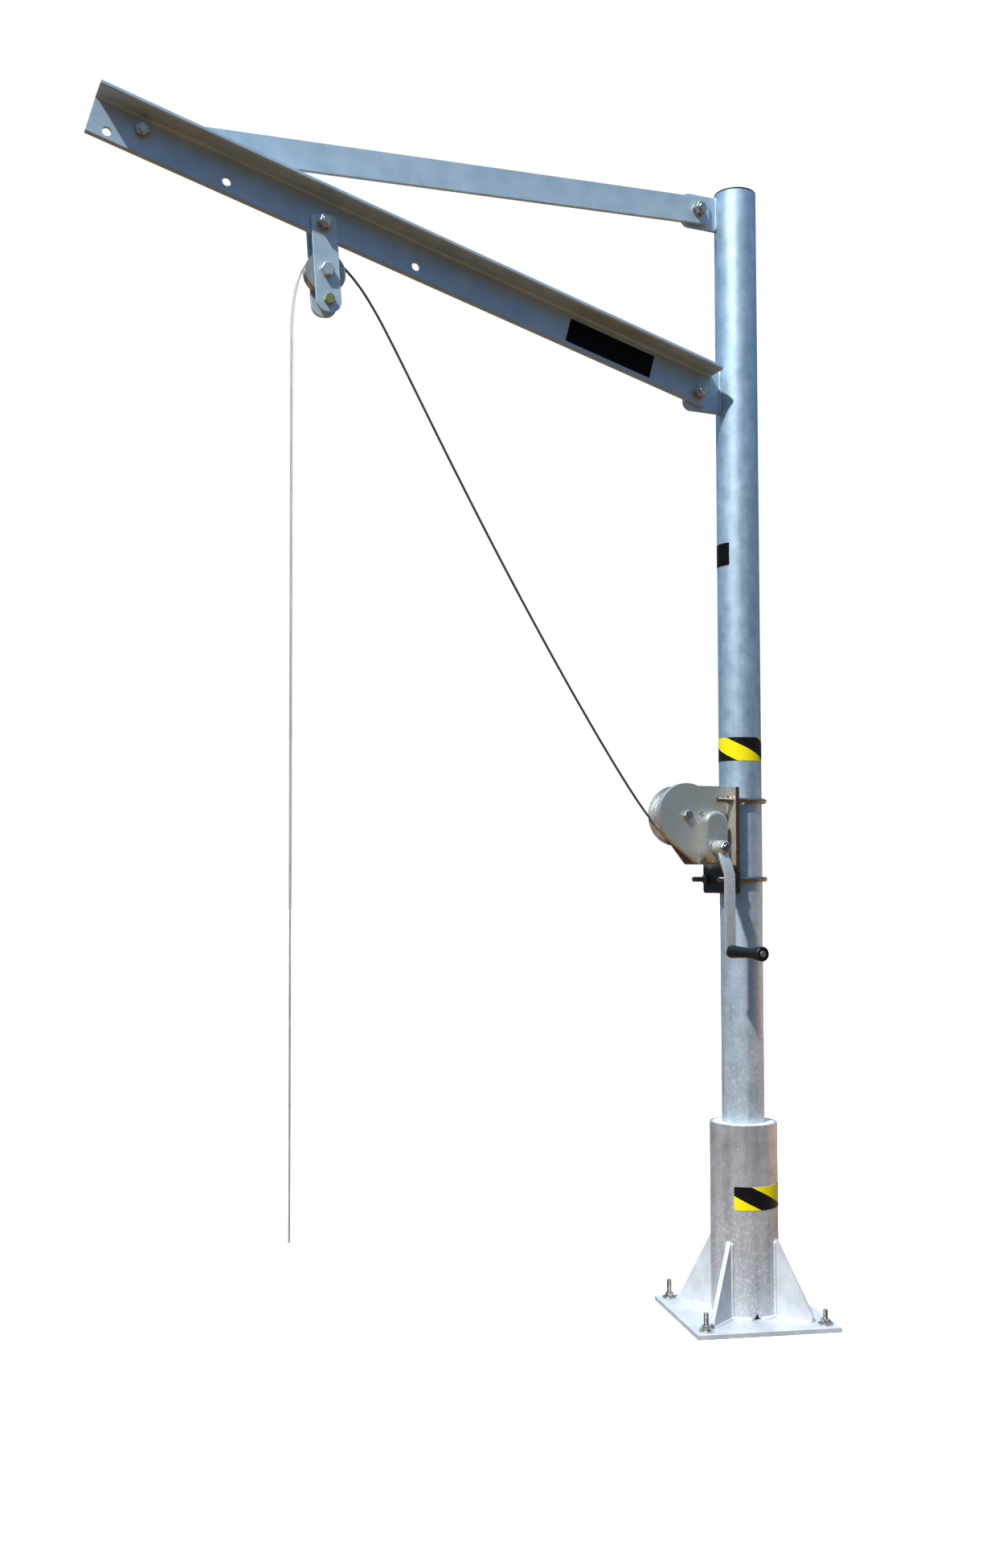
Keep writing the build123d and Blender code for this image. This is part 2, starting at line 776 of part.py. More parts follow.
# Pulley block straps
def block_strap(back):
    """One strap of the pulley block with a rounded lower end."""
    with BuildPart() as strap:
        with BuildSketch(block_plane(back)) as outline:
            with Locations((0, (strap_above - strap_below) / 2)):
                Rectangle(strap_width, strap_above + strap_below)
            fillet(outline.vertices().group_by(Axis.Y)[0], radius=strap_round)
            fillet(outline.vertices().group_by(Axis.Y)[-1], radius=strap_corner)
            with Locations((0, 0), (0, -axle_drop)):
                Circle(bolt_diameter / 2 + running_gap, mode=Mode.SUBTRACT)
            with Locations((0, -spacer_drop)):
                Circle(lower_bolt_diameter / 2 + running_gap, mode=Mode.SUBTRACT)
        extrude(amount=strap_thickness)
    return strap.part


with BuildPart() as strap_front:
    add(block_strap(-strap_inner))

with BuildPart() as strap_rear:
    add(block_strap(strap_outer))

axle_plane = at(block_plane(0), 0, -axle_drop)
spacer_plane = at(block_plane(0), 0, -spacer_drop)

with BuildPart() as block_bolts:
    axle_shank = 2 * strap_outer + bolt_nut + bolt_free_end
    lower_shank = 2 * strap_outer + lower_bolt_nut + bolt_free_end
    add(hex_bolt(axle_plane.offset(strap_outer), bolt_diameter, axle_shank, bolt_flats, bolt_head))
    add(hex_bolt(spacer_plane.offset(strap_outer), lower_bolt_diameter, lower_shank, lower_bolt_flats,
                 lower_bolt_head, turn=lower_bolt_turn))

with BuildPart() as block_nuts:
    for axis_plane, flats, height, bore in [
        (axle_plane, bolt_flats, bolt_nut, bolt_diameter / 2 + seat_gap),
        (spacer_plane, lower_bolt_flats, lower_bolt_nut, lower_bolt_diameter / 2 + seat_gap),
    ]:
        nut_place = axis_plane.offset(-strap_outer).origin
        nut_plane = Plane(origin=nut_place, x_dir=axis_plane.x_dir, z_dir=(0, 1, 0))
        add(hexagon(nut_plane, flats, height, bore))

with BuildPart() as side_washers:
    washer_width = strap_inner - sheave_width / 2 - side_washer_gap
    for face in [-sheave_width / 2 - side_washer_gap, strap_inner]:
        add(disc(axle_plane.offset(-face), side_washer_radius, washer_width, bolt_diameter / 2 + seat_gap))

with BuildPart() as lower_spacer:
    add(disc(spacer_plane.offset(-strap_inner), lower_spacer_diameter / 2, 2 * strap_inner,
             lower_bolt_diameter / 2 + seat_gap))

# Sheave with a rope groove, and its bush
groove_radius = rope_on_sheave - rope_radius - rope_gap
axle_x, axle_z = block_point(axle_drop)

with BuildPart() as sheave:
    sheave_axis = Axis((axle_x, 0, axle_z), (0, -1, 0))
    with BuildSketch(Plane(origin=(axle_x, 0, axle_z), x_dir=(0, -1, 0), z_dir=(1, 0, 0))) as sheave_section:
        half_width = sheave_width / 2
        rim_half = groove_half_width + groove_flare
        with BuildLine():
            Polyline(
                (-half_width, sheave_bush_radius),
                (half_width, sheave_bush_radius),
                (half_width, sheave_radius),
                (rim_half, sheave_radius),
                (groove_half_width, groove_radius),
                (-groove_half_width, groove_radius),
                (-rim_half, sheave_radius),
                (-half_width, sheave_radius),
                close=True,
            )
        make_face()
        groove_corners = sheave_section.vertices().filter_by(
            lambda corner: abs(corner.Y - groove_radius) < 0.1)
        fillet(groove_corners, radius=groove_fillet)
    revolve(axis=sheave_axis)

with BuildPart() as sheave_bush:
    add(disc(axle_plane.offset(-sheave_width / 2), sheave_bush_radius - seat_gap / 2, sheave_width,
             bolt_diameter / 2 + running_gap))

# Winch mounting plate and U-bolts
u_bolt_levels = [mount_level - u_bolt_spacing / 2, mount_level + u_bolt_spacing / 2]
u_bolt_rows = [level - mount_level for level in u_bolt_levels]
u_bolt_places = [(side * u_bolt_radius, row) for side in (-1, 1) for row in u_bolt_rows]
mount_plane = Plane(origin=(mount_back, 0, mount_level), x_dir=(0, -1, 0), z_dir=(-1, 0, 0))
frame_bolt_places = [(-column, row) for row in frame_bolt_rows for column in frame_bolt_columns]

with BuildPart() as winch_mount_plate:
    with BuildSketch(mount_plane):
        RectangleRounded(mount_width, mount_height, mount_corner)
        with Locations(*u_bolt_places):
            Circle(u_bolt_diameter / 2 + u_bolt_hole_gap, mode=Mode.SUBTRACT)
        with Locations(*frame_bolt_places):
            Circle(frame_bolt_diameter / 2 + seat_gap, mode=Mode.SUBTRACT)
    extrude(amount=mount_thickness)
    chamfer(winch_mount_plate.faces().sort_by(Axis.X)[0].outer_wire().edges(), length=edge_break)

with BuildPart() as u_bolts:
    for level in u_bolt_levels:
        with BuildLine(Plane.XY.offset(level)) as u_bolt_path:
            first_leg = Line((u_bolt_leg_end, -u_bolt_radius), (0, -u_bolt_radius))
            CenterArc((0, 0), u_bolt_radius, -90, 180)
            Line((0, u_bolt_radius), (u_bolt_leg_end, u_bolt_radius))
        with BuildSketch(Plane(origin=first_leg @ 0, z_dir=first_leg % 0)):
            Circle(u_bolt_diameter / 2)
        sweep()

with BuildPart() as u_bolt_nuts:
    for across, up in u_bolt_places:
        nut_plane = at(mount_plane, across, up).offset(mount_thickness)
        add(hexagon(nut_plane, u_bolt_nut_flats, u_bolt_nut_height, u_bolt_diameter / 2 + seat_gap))

# Winch frame: front plate with a turned rim, base and rear plate in one bent sheet
frame_base_front = mount_front - frame_base_sheet


def tangent_point(radius, outside_x, outside_z):
    """Where the lower tangent from an outside point touches a circle round the drum axis."""
    span = math.hypot(outside_x - drum_x, outside_z - drum_z)
    bearing = math.atan2(outside_z - drum_z, outside_x - drum_x) - math.acos(radius / span)
    return (drum_x + radius * math.cos(bearing), drum_z + radius * math.sin(bearing))


def frame_outline(radius, top):
    """Side plate outline: round about the drum axis, square at the base and cut back below."""
    shoulder_z = min(top, drum_z + radius - frame_top_cut)
    reach = math.sqrt(radius**2 - (shoulder_z - drum_z) ** 2)
    shoulder = (drum_x + reach, shoulder_z)
    touch = tangent_point(radius, frame_foot_x, frame_bottom)
    with BuildSketch() as outline:
        with BuildLine():
            ThreePointArc(shoulder, (drum_x - radius, drum_z), touch)
            foot_corner = (frame_foot_x, frame_bottom)
            Polyline(touch, foot_corner, (mount_front, frame_bottom), (mount_front, top), shoulder)
        make_face()
        foot = outline.vertices().sort_by_distance((frame_foot_x, frame_bottom, 0))[0]
        fillet(foot, radius=frame_corner)
    return outline.sketch


front_outline = frame_outline(frame_round, frame_top)
rear_outline = frame_outline(rear_plate_round, frame_top)

with BuildPart() as winch_frame:
    with BuildSketch(side_plane(frame_inner_front)):
        add(front_outline)
        with Locations((drum_x, drum_z)):
            Circle(drum_axle_diameter / 2 + seat_gap, mode=Mode.SUBTRACT)
        with Locations((crank_x, crank_z)):
            Circle(shaft_bush_radius + seat_gap, mode=Mode.SUBTRACT)
    extrude(amount=frame_sheet)
    with BuildSketch(side_plane(frame_rear)):
        add(rear_outline)
        with Locations((drum_x, drum_z)):
            Circle(drum_axle_diameter / 2 + seat_gap, mode=Mode.SUBTRACT)
        with Locations((crank_x, crank_z)):
            Circle(shaft_bush_radius + seat_gap, mode=Mode.SUBTRACT)
    extrude(amount=frame_sheet)
    with BuildSketch(side_plane(frame_rear)):
        with Locations(((mount_front + frame_base_front) / 2, (frame_top + frame_bottom) / 2)):
            Rectangle(frame_base_sheet, frame_top - frame_bottom)
    extrude(amount=frame_rear - frame_front)
    with BuildSketch(side_plane(frame_inner_front)):
        add(front_outline)
        offset(front_outline, amount=-frame_rim_width, mode=Mode.SUBTRACT)
        with Locations((frame_rim_right - frame_round, drum_z)):
            Rectangle(2 * frame_round, 4 * frame_round, mode=Mode.INTERSECT)
    extrude(amount=-frame_rim_depth)
    with BuildSketch(mount_plane.offset(mount_thickness)):
        with Locations(*frame_bolt_places):
            Circle(frame_bolt_diameter / 2 + seat_gap)
    extrude(amount=frame_base_sheet, mode=Mode.SUBTRACT)

with BuildPart() as frame_bolts:
    bolt_reach = frame_base_sheet + mount_thickness - frame_bolt_short
    for across, up in frame_bolt_places:
        head_plane = at(mount_plane, across, up).offset(mount_thickness + frame_base_sheet)
        add(hex_bolt(head_plane, frame_bolt_diameter, bolt_reach, frame_bolt_flats, frame_bolt_head))

# Drum axle
drum_front_plane = at(side_plane(frame_front), drum_x, drum_z)
drum_rear_plane = Plane(origin=(drum_x, frame_rear, drum_z), x_dir=(1, 0, 0), z_dir=(0, 1, 0))

with BuildPart() as drum_axle:
    axle_length = frame_rear - frame_front + bolt_nut + bolt_free_end
    add(hex_bolt(drum_front_plane, drum_axle_diameter, axle_length, drum_axle_flats, drum_axle_head,
                 turn=drum_axle_turn))

with BuildPart() as drum_axle_nut:
    add(hexagon(drum_rear_plane, bolt_flats, bolt_nut, drum_axle_diameter / 2 + seat_gap))

# Drum with two flanges, its bushes and gear
drum_center = at(side_plane(0), drum_x, drum_z)

with BuildPart() as drum:
    add(disc(drum_center.offset(-rope_space_front), front_flange_radius, flange_thickness))
    add(disc(drum_center.offset(-rope_space_rear), barrel_radius, rope_space_rear - rope_space_front))
    add(disc(drum_center.offset(-rope_space_rear - flange_thickness), rear_flange_radius, flange_thickness))
    with BuildSketch(drum_center.offset(-rope_space_rear - flange_thickness)):
        Circle(drum_bush_radius)
    extrude(amount=frame_rear - frame_front, mode=Mode.SUBTRACT)

with BuildPart() as drum_gear:
    add(spur_gear(drum_center.offset(-gear_back), gear_teeth, gear_width, drum_bush_radius, crank_direction))

with BuildPart() as drum_bushes:
    for back in [gear_front + drum_bush_length, rope_space_rear + flange_thickness]:
        add(disc(drum_center.offset(-back), drum_bush_radius - seat_gap / 2, drum_bush_length,
                 drum_axle_diameter / 2 + running_gap))

with BuildPart() as rope_core:
    core_length = rope_space_rear - rope_space_front - 2 * seat_gap
    add(disc(drum_center.offset(-rope_space_rear + seat_gap), core_radius, core_length,
             barrel_radius + seat_gap))

# Crank shaft with its pinion, and the bushes it runs in
crank_center = at(side_plane(0), crank_x, crank_z)
pinion_back = gear_back - pinion_side_gap
shaft_rear_end = frame_rear + shaft_bush_length - frame_sheet
gap_to_gear = crank_direction + 180 + 180 / pinion_teeth

with BuildPart() as pinion_shaft:
    add(spur_gear(crank_center.offset(-pinion_back), pinion_teeth, pinion_back - gear_front, 0, gap_to_gear))
    add(disc(crank_center.offset(-shaft_rear_end), shaft_radius, shaft_rear_end - hub_back))
    thread_length = hub_length + crank_nut_height + shaft_free_end
    add(disc(crank_center.offset(-hub_back), shaft_thread_radius, thread_length))
    chamfer(pinion_shaft.faces().sort_by(Axis.Y)[0].edges(), length=thread_chamfer)

with BuildPart() as shaft_bushes:
    front_bush_back = frame_inner_front + shaft_bush_proud
    rear_bush_back = frame_inner_rear - shaft_bush_proud + shaft_bush_length
    for back in [front_bush_back, rear_bush_back]:
        add(disc(crank_center.offset(-back), shaft_bush_radius, shaft_bush_length,
                 shaft_radius + running_gap))

# Load brake on the crank shaft
brake_bore = shaft_radius + seat_gap / 2
inner_plate_back = frame_front - brake_stack_start
inner_lining_back = inner_plate_back - brake_plate_thickness
ratchet_back = inner_lining_back - friction_thickness
outer_lining_back = ratchet_back - ratchet_thickness
outer_plate_back = outer_lining_back - friction_thickness

with BuildPart() as brake_plates:
    for back in [inner_plate_back, outer_plate_back]:
        add(disc(crank_center.offset(-back), brake_plate_radius, brake_plate_thickness, brake_bore))

with BuildPart() as friction_discs:
    for back in [inner_lining_back, outer_lining_back]:
        add(disc(crank_center.offset(-back), friction_radius, friction_thickness, brake_bore))

with BuildPart() as ratchet_wheel:
    with BuildSketch(crank_center.offset(-ratchet_back)):
        ratchet_points = []
        for tooth in range(ratchet_teeth):
            for radius, share in [(ratchet_tip, 0.0), (ratchet_root, ratchet_face_share)]:
                bearing = 2 * math.pi * (tooth + share) / ratchet_teeth
                ratchet_points.append((radius * math.cos(bearing), radius * math.sin(bearing)))
        with BuildLine():
            Polyline(*ratchet_points, close=True)
        make_face()
        Circle(brake_bore, mode=Mode.SUBTRACT)
    extrude(amount=ratchet_thickness)

pawl_back = ratchet_back - (ratchet_thickness - pawl_thickness) / 2

with BuildPart() as pawl:
    with BuildSketch(side_plane(pawl_back)):
        with BuildLine():
            Polyline(
                (pawl_pin_x, pawl_pin_z + pawl_boss),
                (pawl_tip_x, pawl_tip_z + pawl_tip_half),
                (pawl_tip_x, pawl_tip_z - pawl_tip_half),
                (pawl_pin_x, pawl_pin_z - pawl_boss),
                close=True,
            )
        make_face()
        with Locations((pawl_pin_x, pawl_pin_z)):
            Circle(pawl_boss)
            Circle(pawl_pin_radius + running_gap, mode=Mode.SUBTRACT)
    extrude(amount=pawl_thickness)

with BuildPart() as pawl_pin:
    pin_length = cover_depth - cover_wall - pawl_pin_end_gap
    add(disc(at(side_plane(frame_front), pawl_pin_x, pawl_pin_z), pawl_pin_radius, pin_length))

# Brake cover: a rounded box with a screwed flange
cover_middle_z = (cover_top + cover_bottom) / 2
cover_height = cover_top - cover_bottom
cover_plane = at(side_plane(frame_front), cover_center_x, cover_middle_z)
screw_across = cover_flange_width / 2 - cover_screw_inset
screw_up = cover_height / 2 - cover_screw_inset
screw_places = [(side * screw_across, level * screw_up) for side in (-1, 1) for level in (-1, 1)]

with BuildPart() as brake_cover:
    with BuildSketch(cover_plane):
        SlotOverall(cover_height, cover_width, rotation=90)
    extrude(amount=cover_depth)
    fillet(brake_cover.faces().sort_by(Axis.Y)[0].edges(), radius=cover_edge)
    with BuildSketch(cover_plane):
        RectangleRounded(cover_flange_width, cover_height, cover_flange_corner)
    extrude(amount=cover_flange_thickness)
    with BuildSketch(cover_plane):
        SlotOverall(cover_height - 2 * cover_wall, cover_width - 2 * cover_wall, rotation=90)
    extrude(amount=cover_depth - cover_edge, mode=Mode.SUBTRACT)
    with BuildSketch(cover_plane):
        SlotOverall(cover_height - 2 * cover_edge, cover_width - 2 * cover_edge, rotation=90)
    extrude(amount=cover_depth - cover_wall, mode=Mode.SUBTRACT)
    with BuildSketch(crank_center.offset(-frame_front)):
        Circle(cover_shaft_hole)
    extrude(amount=cover_depth, mode=Mode.SUBTRACT)
    with BuildSketch(cover_plane):
        with Locations(*screw_places):
            Circle(cover_screw_shank + seat_gap)
    extrude(amount=cover_flange_thickness, mode=Mode.SUBTRACT)

with BuildPart() as cover_screws:
    for across, up in screw_places:
        screw_plane = at(cover_plane, across, up)
        add(disc(screw_plane, cover_screw_shank, cover_flange_thickness))
        add(disc(screw_plane.offset(cover_flange_thickness), cover_screw_radius, cover_screw_head))

# Crank arm with a joggle, its nut and the grip on its spindle
with BuildPart() as crank_arm:
    arm_top = crank_z
    joggle_high = crank_z - arm_joggle_start
    joggle_low = crank_z - arm_joggle_end
    arm_end = grip_z - arm_width / 2
    with BuildSketch(Plane(origin=(crank_x, 0, 0), x_dir=(0, 1, 0), z_dir=(1, 0, 0))):
        with BuildLine():
            Polyline(
                (arm_back, arm_top),
                (arm_back, joggle_high),
                (arm_outer_back, joggle_low),
                (arm_outer_back, arm_end),
                (arm_outer_front, arm_end),
                (arm_outer_front, joggle_low + arm_thickness / 3),
                (hub_front, joggle_high + arm_thickness / 3),
                (hub_front, arm_top),
                close=True,
            )
        make_face()
    extrude(amount=arm_width / 2, both=True)
    lower_corners = crank_arm.edges().filter_by(Axis.Y).group_by(Axis.Z)[0]
    fillet(lower_corners, radius=arm_end_round)
    add(disc(crank_center.offset(-hub_back), hub_radius, hub_length))
    with BuildSketch(crank_center.offset(-hub_back)):
        Circle(shaft_thread_radius + seat_gap)
    extrude(amount=hub_length, mode=Mode.SUBTRACT)
    with BuildSketch(at(side_plane(arm_outer_back), crank_x, grip_z)):
        Circle(spindle_radius + seat_gap)
    extrude(amount=arm_thickness, mode=Mode.SUBTRACT)

with BuildPart() as crank_nut:
    add(hexagon(crank_center.offset(-hub_front), crank_nut_flats, crank_nut_height,
                shaft_thread_radius + seat_gap))

grip_center = at(side_plane(0), crank_x, grip_z)

with BuildPart() as grip_spindle:
    add(disc(grip_center.offset(-arm_outer_back - spindle_head), spindle_head_radius, spindle_head))
    add(disc(grip_center.offset(-arm_outer_back), spindle_radius,
             arm_outer_back - grip_front - spindle_end_short))
    cap_back = grip_front + grip_recess - moving_gap
    add(disc(grip_center.offset(-cap_back), spindle_cap_radius, cap_back - grip_front))
    fillet(grip_spindle.faces().sort_by(Axis.Y)[0].edges(), radius=spindle_cap_edge)

with BuildPart() as grip:
    with BuildSketch(Plane(origin=(crank_x, 0, grip_z), x_dir=(0, -1, 0), z_dir=(1, 0, 0))):
        with BuildLine():
            Polyline(
                (-grip_back + grip_edge, grip_inner_radius),
                (-grip_back, grip_inner_radius - grip_edge),
                (-grip_back, spindle_radius + running_gap),
                (-grip_front - grip_recess, spindle_radius + running_gap),
                (-grip_front - grip_recess, spindle_cap_radius + spindle_cap_gap),
                (-grip_front, spindle_cap_radius + spindle_cap_gap),
                (-grip_front, grip_outer_radius - grip_edge),
                (-grip_front - grip_edge, grip_outer_radius),
            )
            Spline(
                (-grip_front - grip_edge, grip_outer_radius),
                (-grip_front - grip_length * grip_swell_share, grip_outer_radius - grip_swell_drop),
                (-grip_front - grip_length * grip_outer_waist_share, grip_middle_radius + grip_waist_rise),
                (-grip_back + grip_length * grip_inner_waist_share, grip_middle_radius),
                (-grip_back + grip_length * grip_swell_share, grip_inner_radius - grip_swell_drop),
                (-grip_back + grip_edge, grip_inner_radius),
            )
        make_face()
    revolve(axis=Axis((crank_x, 0, grip_z), (0, -1, 0)))

# Hoist rope: a wrap round the drum, the lead up to the sheave, over it and down to the bare end
last_lead_x, last_lead_z = lead_bends[0]
lead_span = math.hypot(last_lead_x - drum_x, last_lead_z - drum_z)
touch_bearing = math.degrees(
    math.atan2(last_lead_z - drum_z, last_lead_x - drum_x) + math.acos(rope_on_drum / lead_span))
rope_points = []
rope_radii = []
wrap_corner = rope_on_drum / math.cos(math.radians(drum_bend_half_turn))
wrap_end = touch_bearing + 2 * drum_bend_half_turn * drum_bend_count


def drum_point(radius, bearing):
    """A place round the drum axis, in the slot of the rope that leaves the drum."""
    angle = math.radians(bearing)
    return (drum_x + radius * math.cos(angle), free_slot, drum_z + radius * math.sin(angle))


def sheave_point(radius, bearing):
    """A place round the sheave axle, in the middle of its groove."""
    angle = math.radians(bearing)
    return (axle_x + radius * math.cos(angle), 0.0, axle_z + radius * math.sin(angle))


rope_points.append(drum_point(rope_on_drum, wrap_end))
for bend in reversed(range(drum_bend_count)):
    rope_points.append(drum_point(wrap_corner, touch_bearing + drum_bend_half_turn * (2 * bend + 1)))
for index, (bend_x, bend_z) in enumerate(lead_bends):
    share = max(0.0, (index - 1) / (len(lead_bends) - 1))
    rope_points.append((bend_x, free_slot * (1 - share), bend_z))
sheave_corner = rope_on_sheave / math.cos(math.radians(sheave_bend_half_turn))
for bearing in sheave_bend_angles:
    rope_points.append(sheave_point(sheave_corner, bearing))
for bend_x, bend_z in fall_bends:
    rope_points.append((bend_x, 0.0, bend_z))
rope_points.append((rope_end_x, 0.0, rope_end_height))

sheave_start = 1 + drum_bend_count + len(lead_bends)
sheave_bends = range(sheave_start, sheave_start + len(sheave_bend_angles))
for index in range(1, len(rope_points) - 1):
    before = Vector(*rope_points[index]) - Vector(*rope_points[index - 1])
    after = Vector(*rope_points[index + 1]) - Vector(*rope_points[index])
    half_turn = math.radians(before.get_angle(after)) / 2
    radius = free_arc_share * min(before.length, after.length) / math.tan(half_turn)
    if index <= drum_bend_count:
        radius = rope_on_drum * wheel_arc_share
    if index in sheave_bends:
        radius = rope_on_sheave * wheel_arc_share
    rope_radii.append(radius)

with BuildPart() as hoist_rope:
    with BuildLine() as rope_path:
        FilletPolyline(*rope_points, radius=rope_radii)
    rope_wire = rope_path.wires()[0]
    with BuildSketch(Plane(origin=rope_wire @ 0, z_dir=rope_wire % 0)):
        Circle(rope_radius)
    sweep()

rope_volume = math.pi * rope_radius**2 * rope_wire.length
print("rope bend radii", [round(radius, 1) for radius in rope_radii])
print("rope length", round(rope_wire.length, 1))
print("rope volume ratio", round(hoist_rope.part.volume / rope_volume, 4))


# Rope winding on the drum: quarter turns of a helix, each made of two arcs
def winding_point(turn):
    """A place on the winding's centre line and its direction there, after a number of turns."""
    angle = 2 * math.pi * turn
    place = Vector(
        drum_x + rope_on_drum * math.cos(angle),
        winding_front + rope_pitch * turn,
        drum_z + rope_on_drum * math.sin(angle),
    )
    rise = rope_pitch / (2 * math.pi * rope_on_drum)
    return place, Vector(-math.sin(angle), rise, math.cos(angle)).normalized()


def arc_joint(start, start_way, end, end_way):
    """Where two arcs that leave and arrive in given directions meet."""
    chord = end - start
    ways = start_way + end_way
    spread = 2 * (1 - start_way.dot(end_way))
    reach = (math.sqrt(chord.dot(ways) ** 2 + spread * chord.dot(chord)) - chord.dot(ways)) / spread
    return (start + start_way * reach + end - end_way * reach) * 0.5


with BuildPart() as rope_winding:
    with BuildLine() as winding_path:
        first, first_way = winding_point(0)
        Line(first - first_way * rope_diameter, first)
        for quarter in range(4 * winding_turns):
            start, start_way = winding_point(quarter / 4)
            end, end_way = winding_point((quarter + 1) / 4)
            joint = arc_joint(start, start_way, end, end_way)
            arc = TangentArc(start, joint, tangent=start_way)
            TangentArc(joint, end, tangent=arc % 1)
        last, last_way = winding_point(winding_turns)
        Line(last, last + last_way * rope_diameter)
    winding_wire = winding_path.wires()[0]
    with BuildSketch(Plane(origin=first - first_way * rope_diameter, z_dir=first_way)):
        Circle(rope_radius)
    sweep()

samples = [winding_point(step / winding_samples)[0] for step in range(winding_samples * winding_turns + 1)]
least_gap = min((samples[i] - samples[j]).length - rope_diameter
                for i in range(len(samples)) for j in range(i + winding_samples // 2, len(samples)))
winding_volume = math.pi * rope_radius**2 * winding_wire.length
print("winding least gap", round(least_gap, 3))
print("winding volume ratio", round(rope_winding.part.volume / winding_volume, 4))

# Export
pieces = {
    "base_plate": base_plate,
    "socket_tube": socket_tube,
    "base_gussets": base_gussets,
    "anchor_studs": anchor_studs,
    "anchor_washers": anchor_washers,
    "anchor_nuts": anchor_nuts,
    "thrust_disc": thrust_disc,
    "lower_guide_ring": lower_guide_ring,
    "upper_guide_ring": upper_guide_ring,
    "socket_tape": socket_tape,
    "mast_foot": mast_foot,
    "mast_tube": mast_tube,
    "mast_cap": mast_cap,
    "mast_tape": mast_tape,
    "mast_label": mast_label,
    "lower_lug": lower_lug,
    "upper_lug": upper_lug,
    "jib_beam": jib_beam,
    "jib_label": jib_label,
    "tie_bar": tie_bar,
    "crane_bolts": crane_bolts,
    "crane_nuts": crane_nuts,
    "crane_washers": crane_washers,
    "hanger_spacer": hanger_spacer,
    "strap_front": strap_front,
    "strap_rear": strap_rear,
    "block_bolts": block_bolts,
    "block_nuts": block_nuts,
    "side_washers": side_washers,
    "lower_spacer": lower_spacer,
    "sheave": sheave,
    "sheave_bush": sheave_bush,
    "winch_mount_plate": winch_mount_plate,
    "u_bolts": u_bolts,
    "u_bolt_nuts": u_bolt_nuts,
    "winch_frame": winch_frame,
    "frame_bolts": frame_bolts,
    "drum_axle": drum_axle,
    "drum_axle_nut": drum_axle_nut,
    "drum": drum,
    "drum_gear": drum_gear,
    "drum_bushes": drum_bushes,
    "rope_core": rope_core,
    "pinion_shaft": pinion_shaft,
    "shaft_bushes": shaft_bushes,
    "brake_plates": brake_plates,
    "friction_discs": friction_discs,
    "ratchet_wheel": ratchet_wheel,
    "pawl": pawl,
    "pawl_pin": pawl_pin,
    "brake_cover": brake_cover,
    "cover_screws": cover_screws,
    "crank_arm": crank_arm,
    "crank_nut": crank_nut,
    "grip_spindle": grip_spindle,
    "grip": grip,
    "hoist_rope": hoist_rope,
    "rope_winding": rope_winding,
}
for name, piece in pieces.items():
    piece.part.label = name
    export_step(piece.part, f"parts/{name}.step")
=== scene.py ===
"""Looks of the slewing davit crane, in metres.

It sets the camera, adds the rope's strands, weld beads, threads and zinc drops, rounds the edges, and gives
every piece its finish, on a pale floor under a key light, a weak glow and a sky.
"""

import math

import bpy
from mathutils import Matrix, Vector, noise


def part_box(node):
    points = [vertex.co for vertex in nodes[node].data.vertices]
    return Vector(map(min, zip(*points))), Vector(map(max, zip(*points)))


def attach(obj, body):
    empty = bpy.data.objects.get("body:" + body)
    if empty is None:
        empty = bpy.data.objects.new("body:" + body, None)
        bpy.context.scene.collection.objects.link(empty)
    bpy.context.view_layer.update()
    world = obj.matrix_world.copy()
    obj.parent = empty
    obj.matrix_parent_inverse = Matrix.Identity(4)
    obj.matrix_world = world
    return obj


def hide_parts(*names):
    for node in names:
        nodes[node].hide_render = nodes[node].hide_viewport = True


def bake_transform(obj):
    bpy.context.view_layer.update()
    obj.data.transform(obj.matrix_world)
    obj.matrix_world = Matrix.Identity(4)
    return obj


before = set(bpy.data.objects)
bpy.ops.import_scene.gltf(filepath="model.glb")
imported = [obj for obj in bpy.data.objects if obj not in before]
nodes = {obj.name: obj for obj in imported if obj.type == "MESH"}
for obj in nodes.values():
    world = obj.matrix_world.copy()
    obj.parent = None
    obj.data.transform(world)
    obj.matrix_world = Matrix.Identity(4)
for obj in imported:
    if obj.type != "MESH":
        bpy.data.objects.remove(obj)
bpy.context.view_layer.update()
scene = bpy.context.scene

# Camera, at the photograph's viewpoint
camera_place = (-1.7917, -2.8037, 0.9082)
camera_pitch = 93.413
camera_yaw = -23.619
camera_lens = 35.735
camera_data = bpy.data.cameras.new("photo_camera")
camera_data.sensor_width = 36.0
camera_data.lens = camera_lens
camera_data.clip_end = 200.0
camera = bpy.data.objects.new("photo_camera", camera_data)
camera.location = camera_place
camera.rotation_euler = (math.radians(camera_pitch), 0.0, math.radians(camera_yaw))
scene.collection.objects.link(camera)
scene.camera = camera
scene.view_settings.view_transform = "Standard"

# Sizes shared with the model; turns and bearings are in degrees
plate_top = 0.010
plate_turn = -13.0
socket_radius = 0.06985
gusset_half = 0.005
gusset_reach = 0.150
gusset_top = 0.165
drain_bearing = -102.0
drain_half = 7.0
mast_radius = 0.04445
rope_radius = 0.0025
drum_x = -0.1470
drum_z = 1.035
rope_on_drum = 0.0455
rope_pitch = 0.0055
winding_front = -0.010
winding_turns = 4
axle_x = -0.92248
axle_z = 2.06129
rope_on_sheave = 0.038


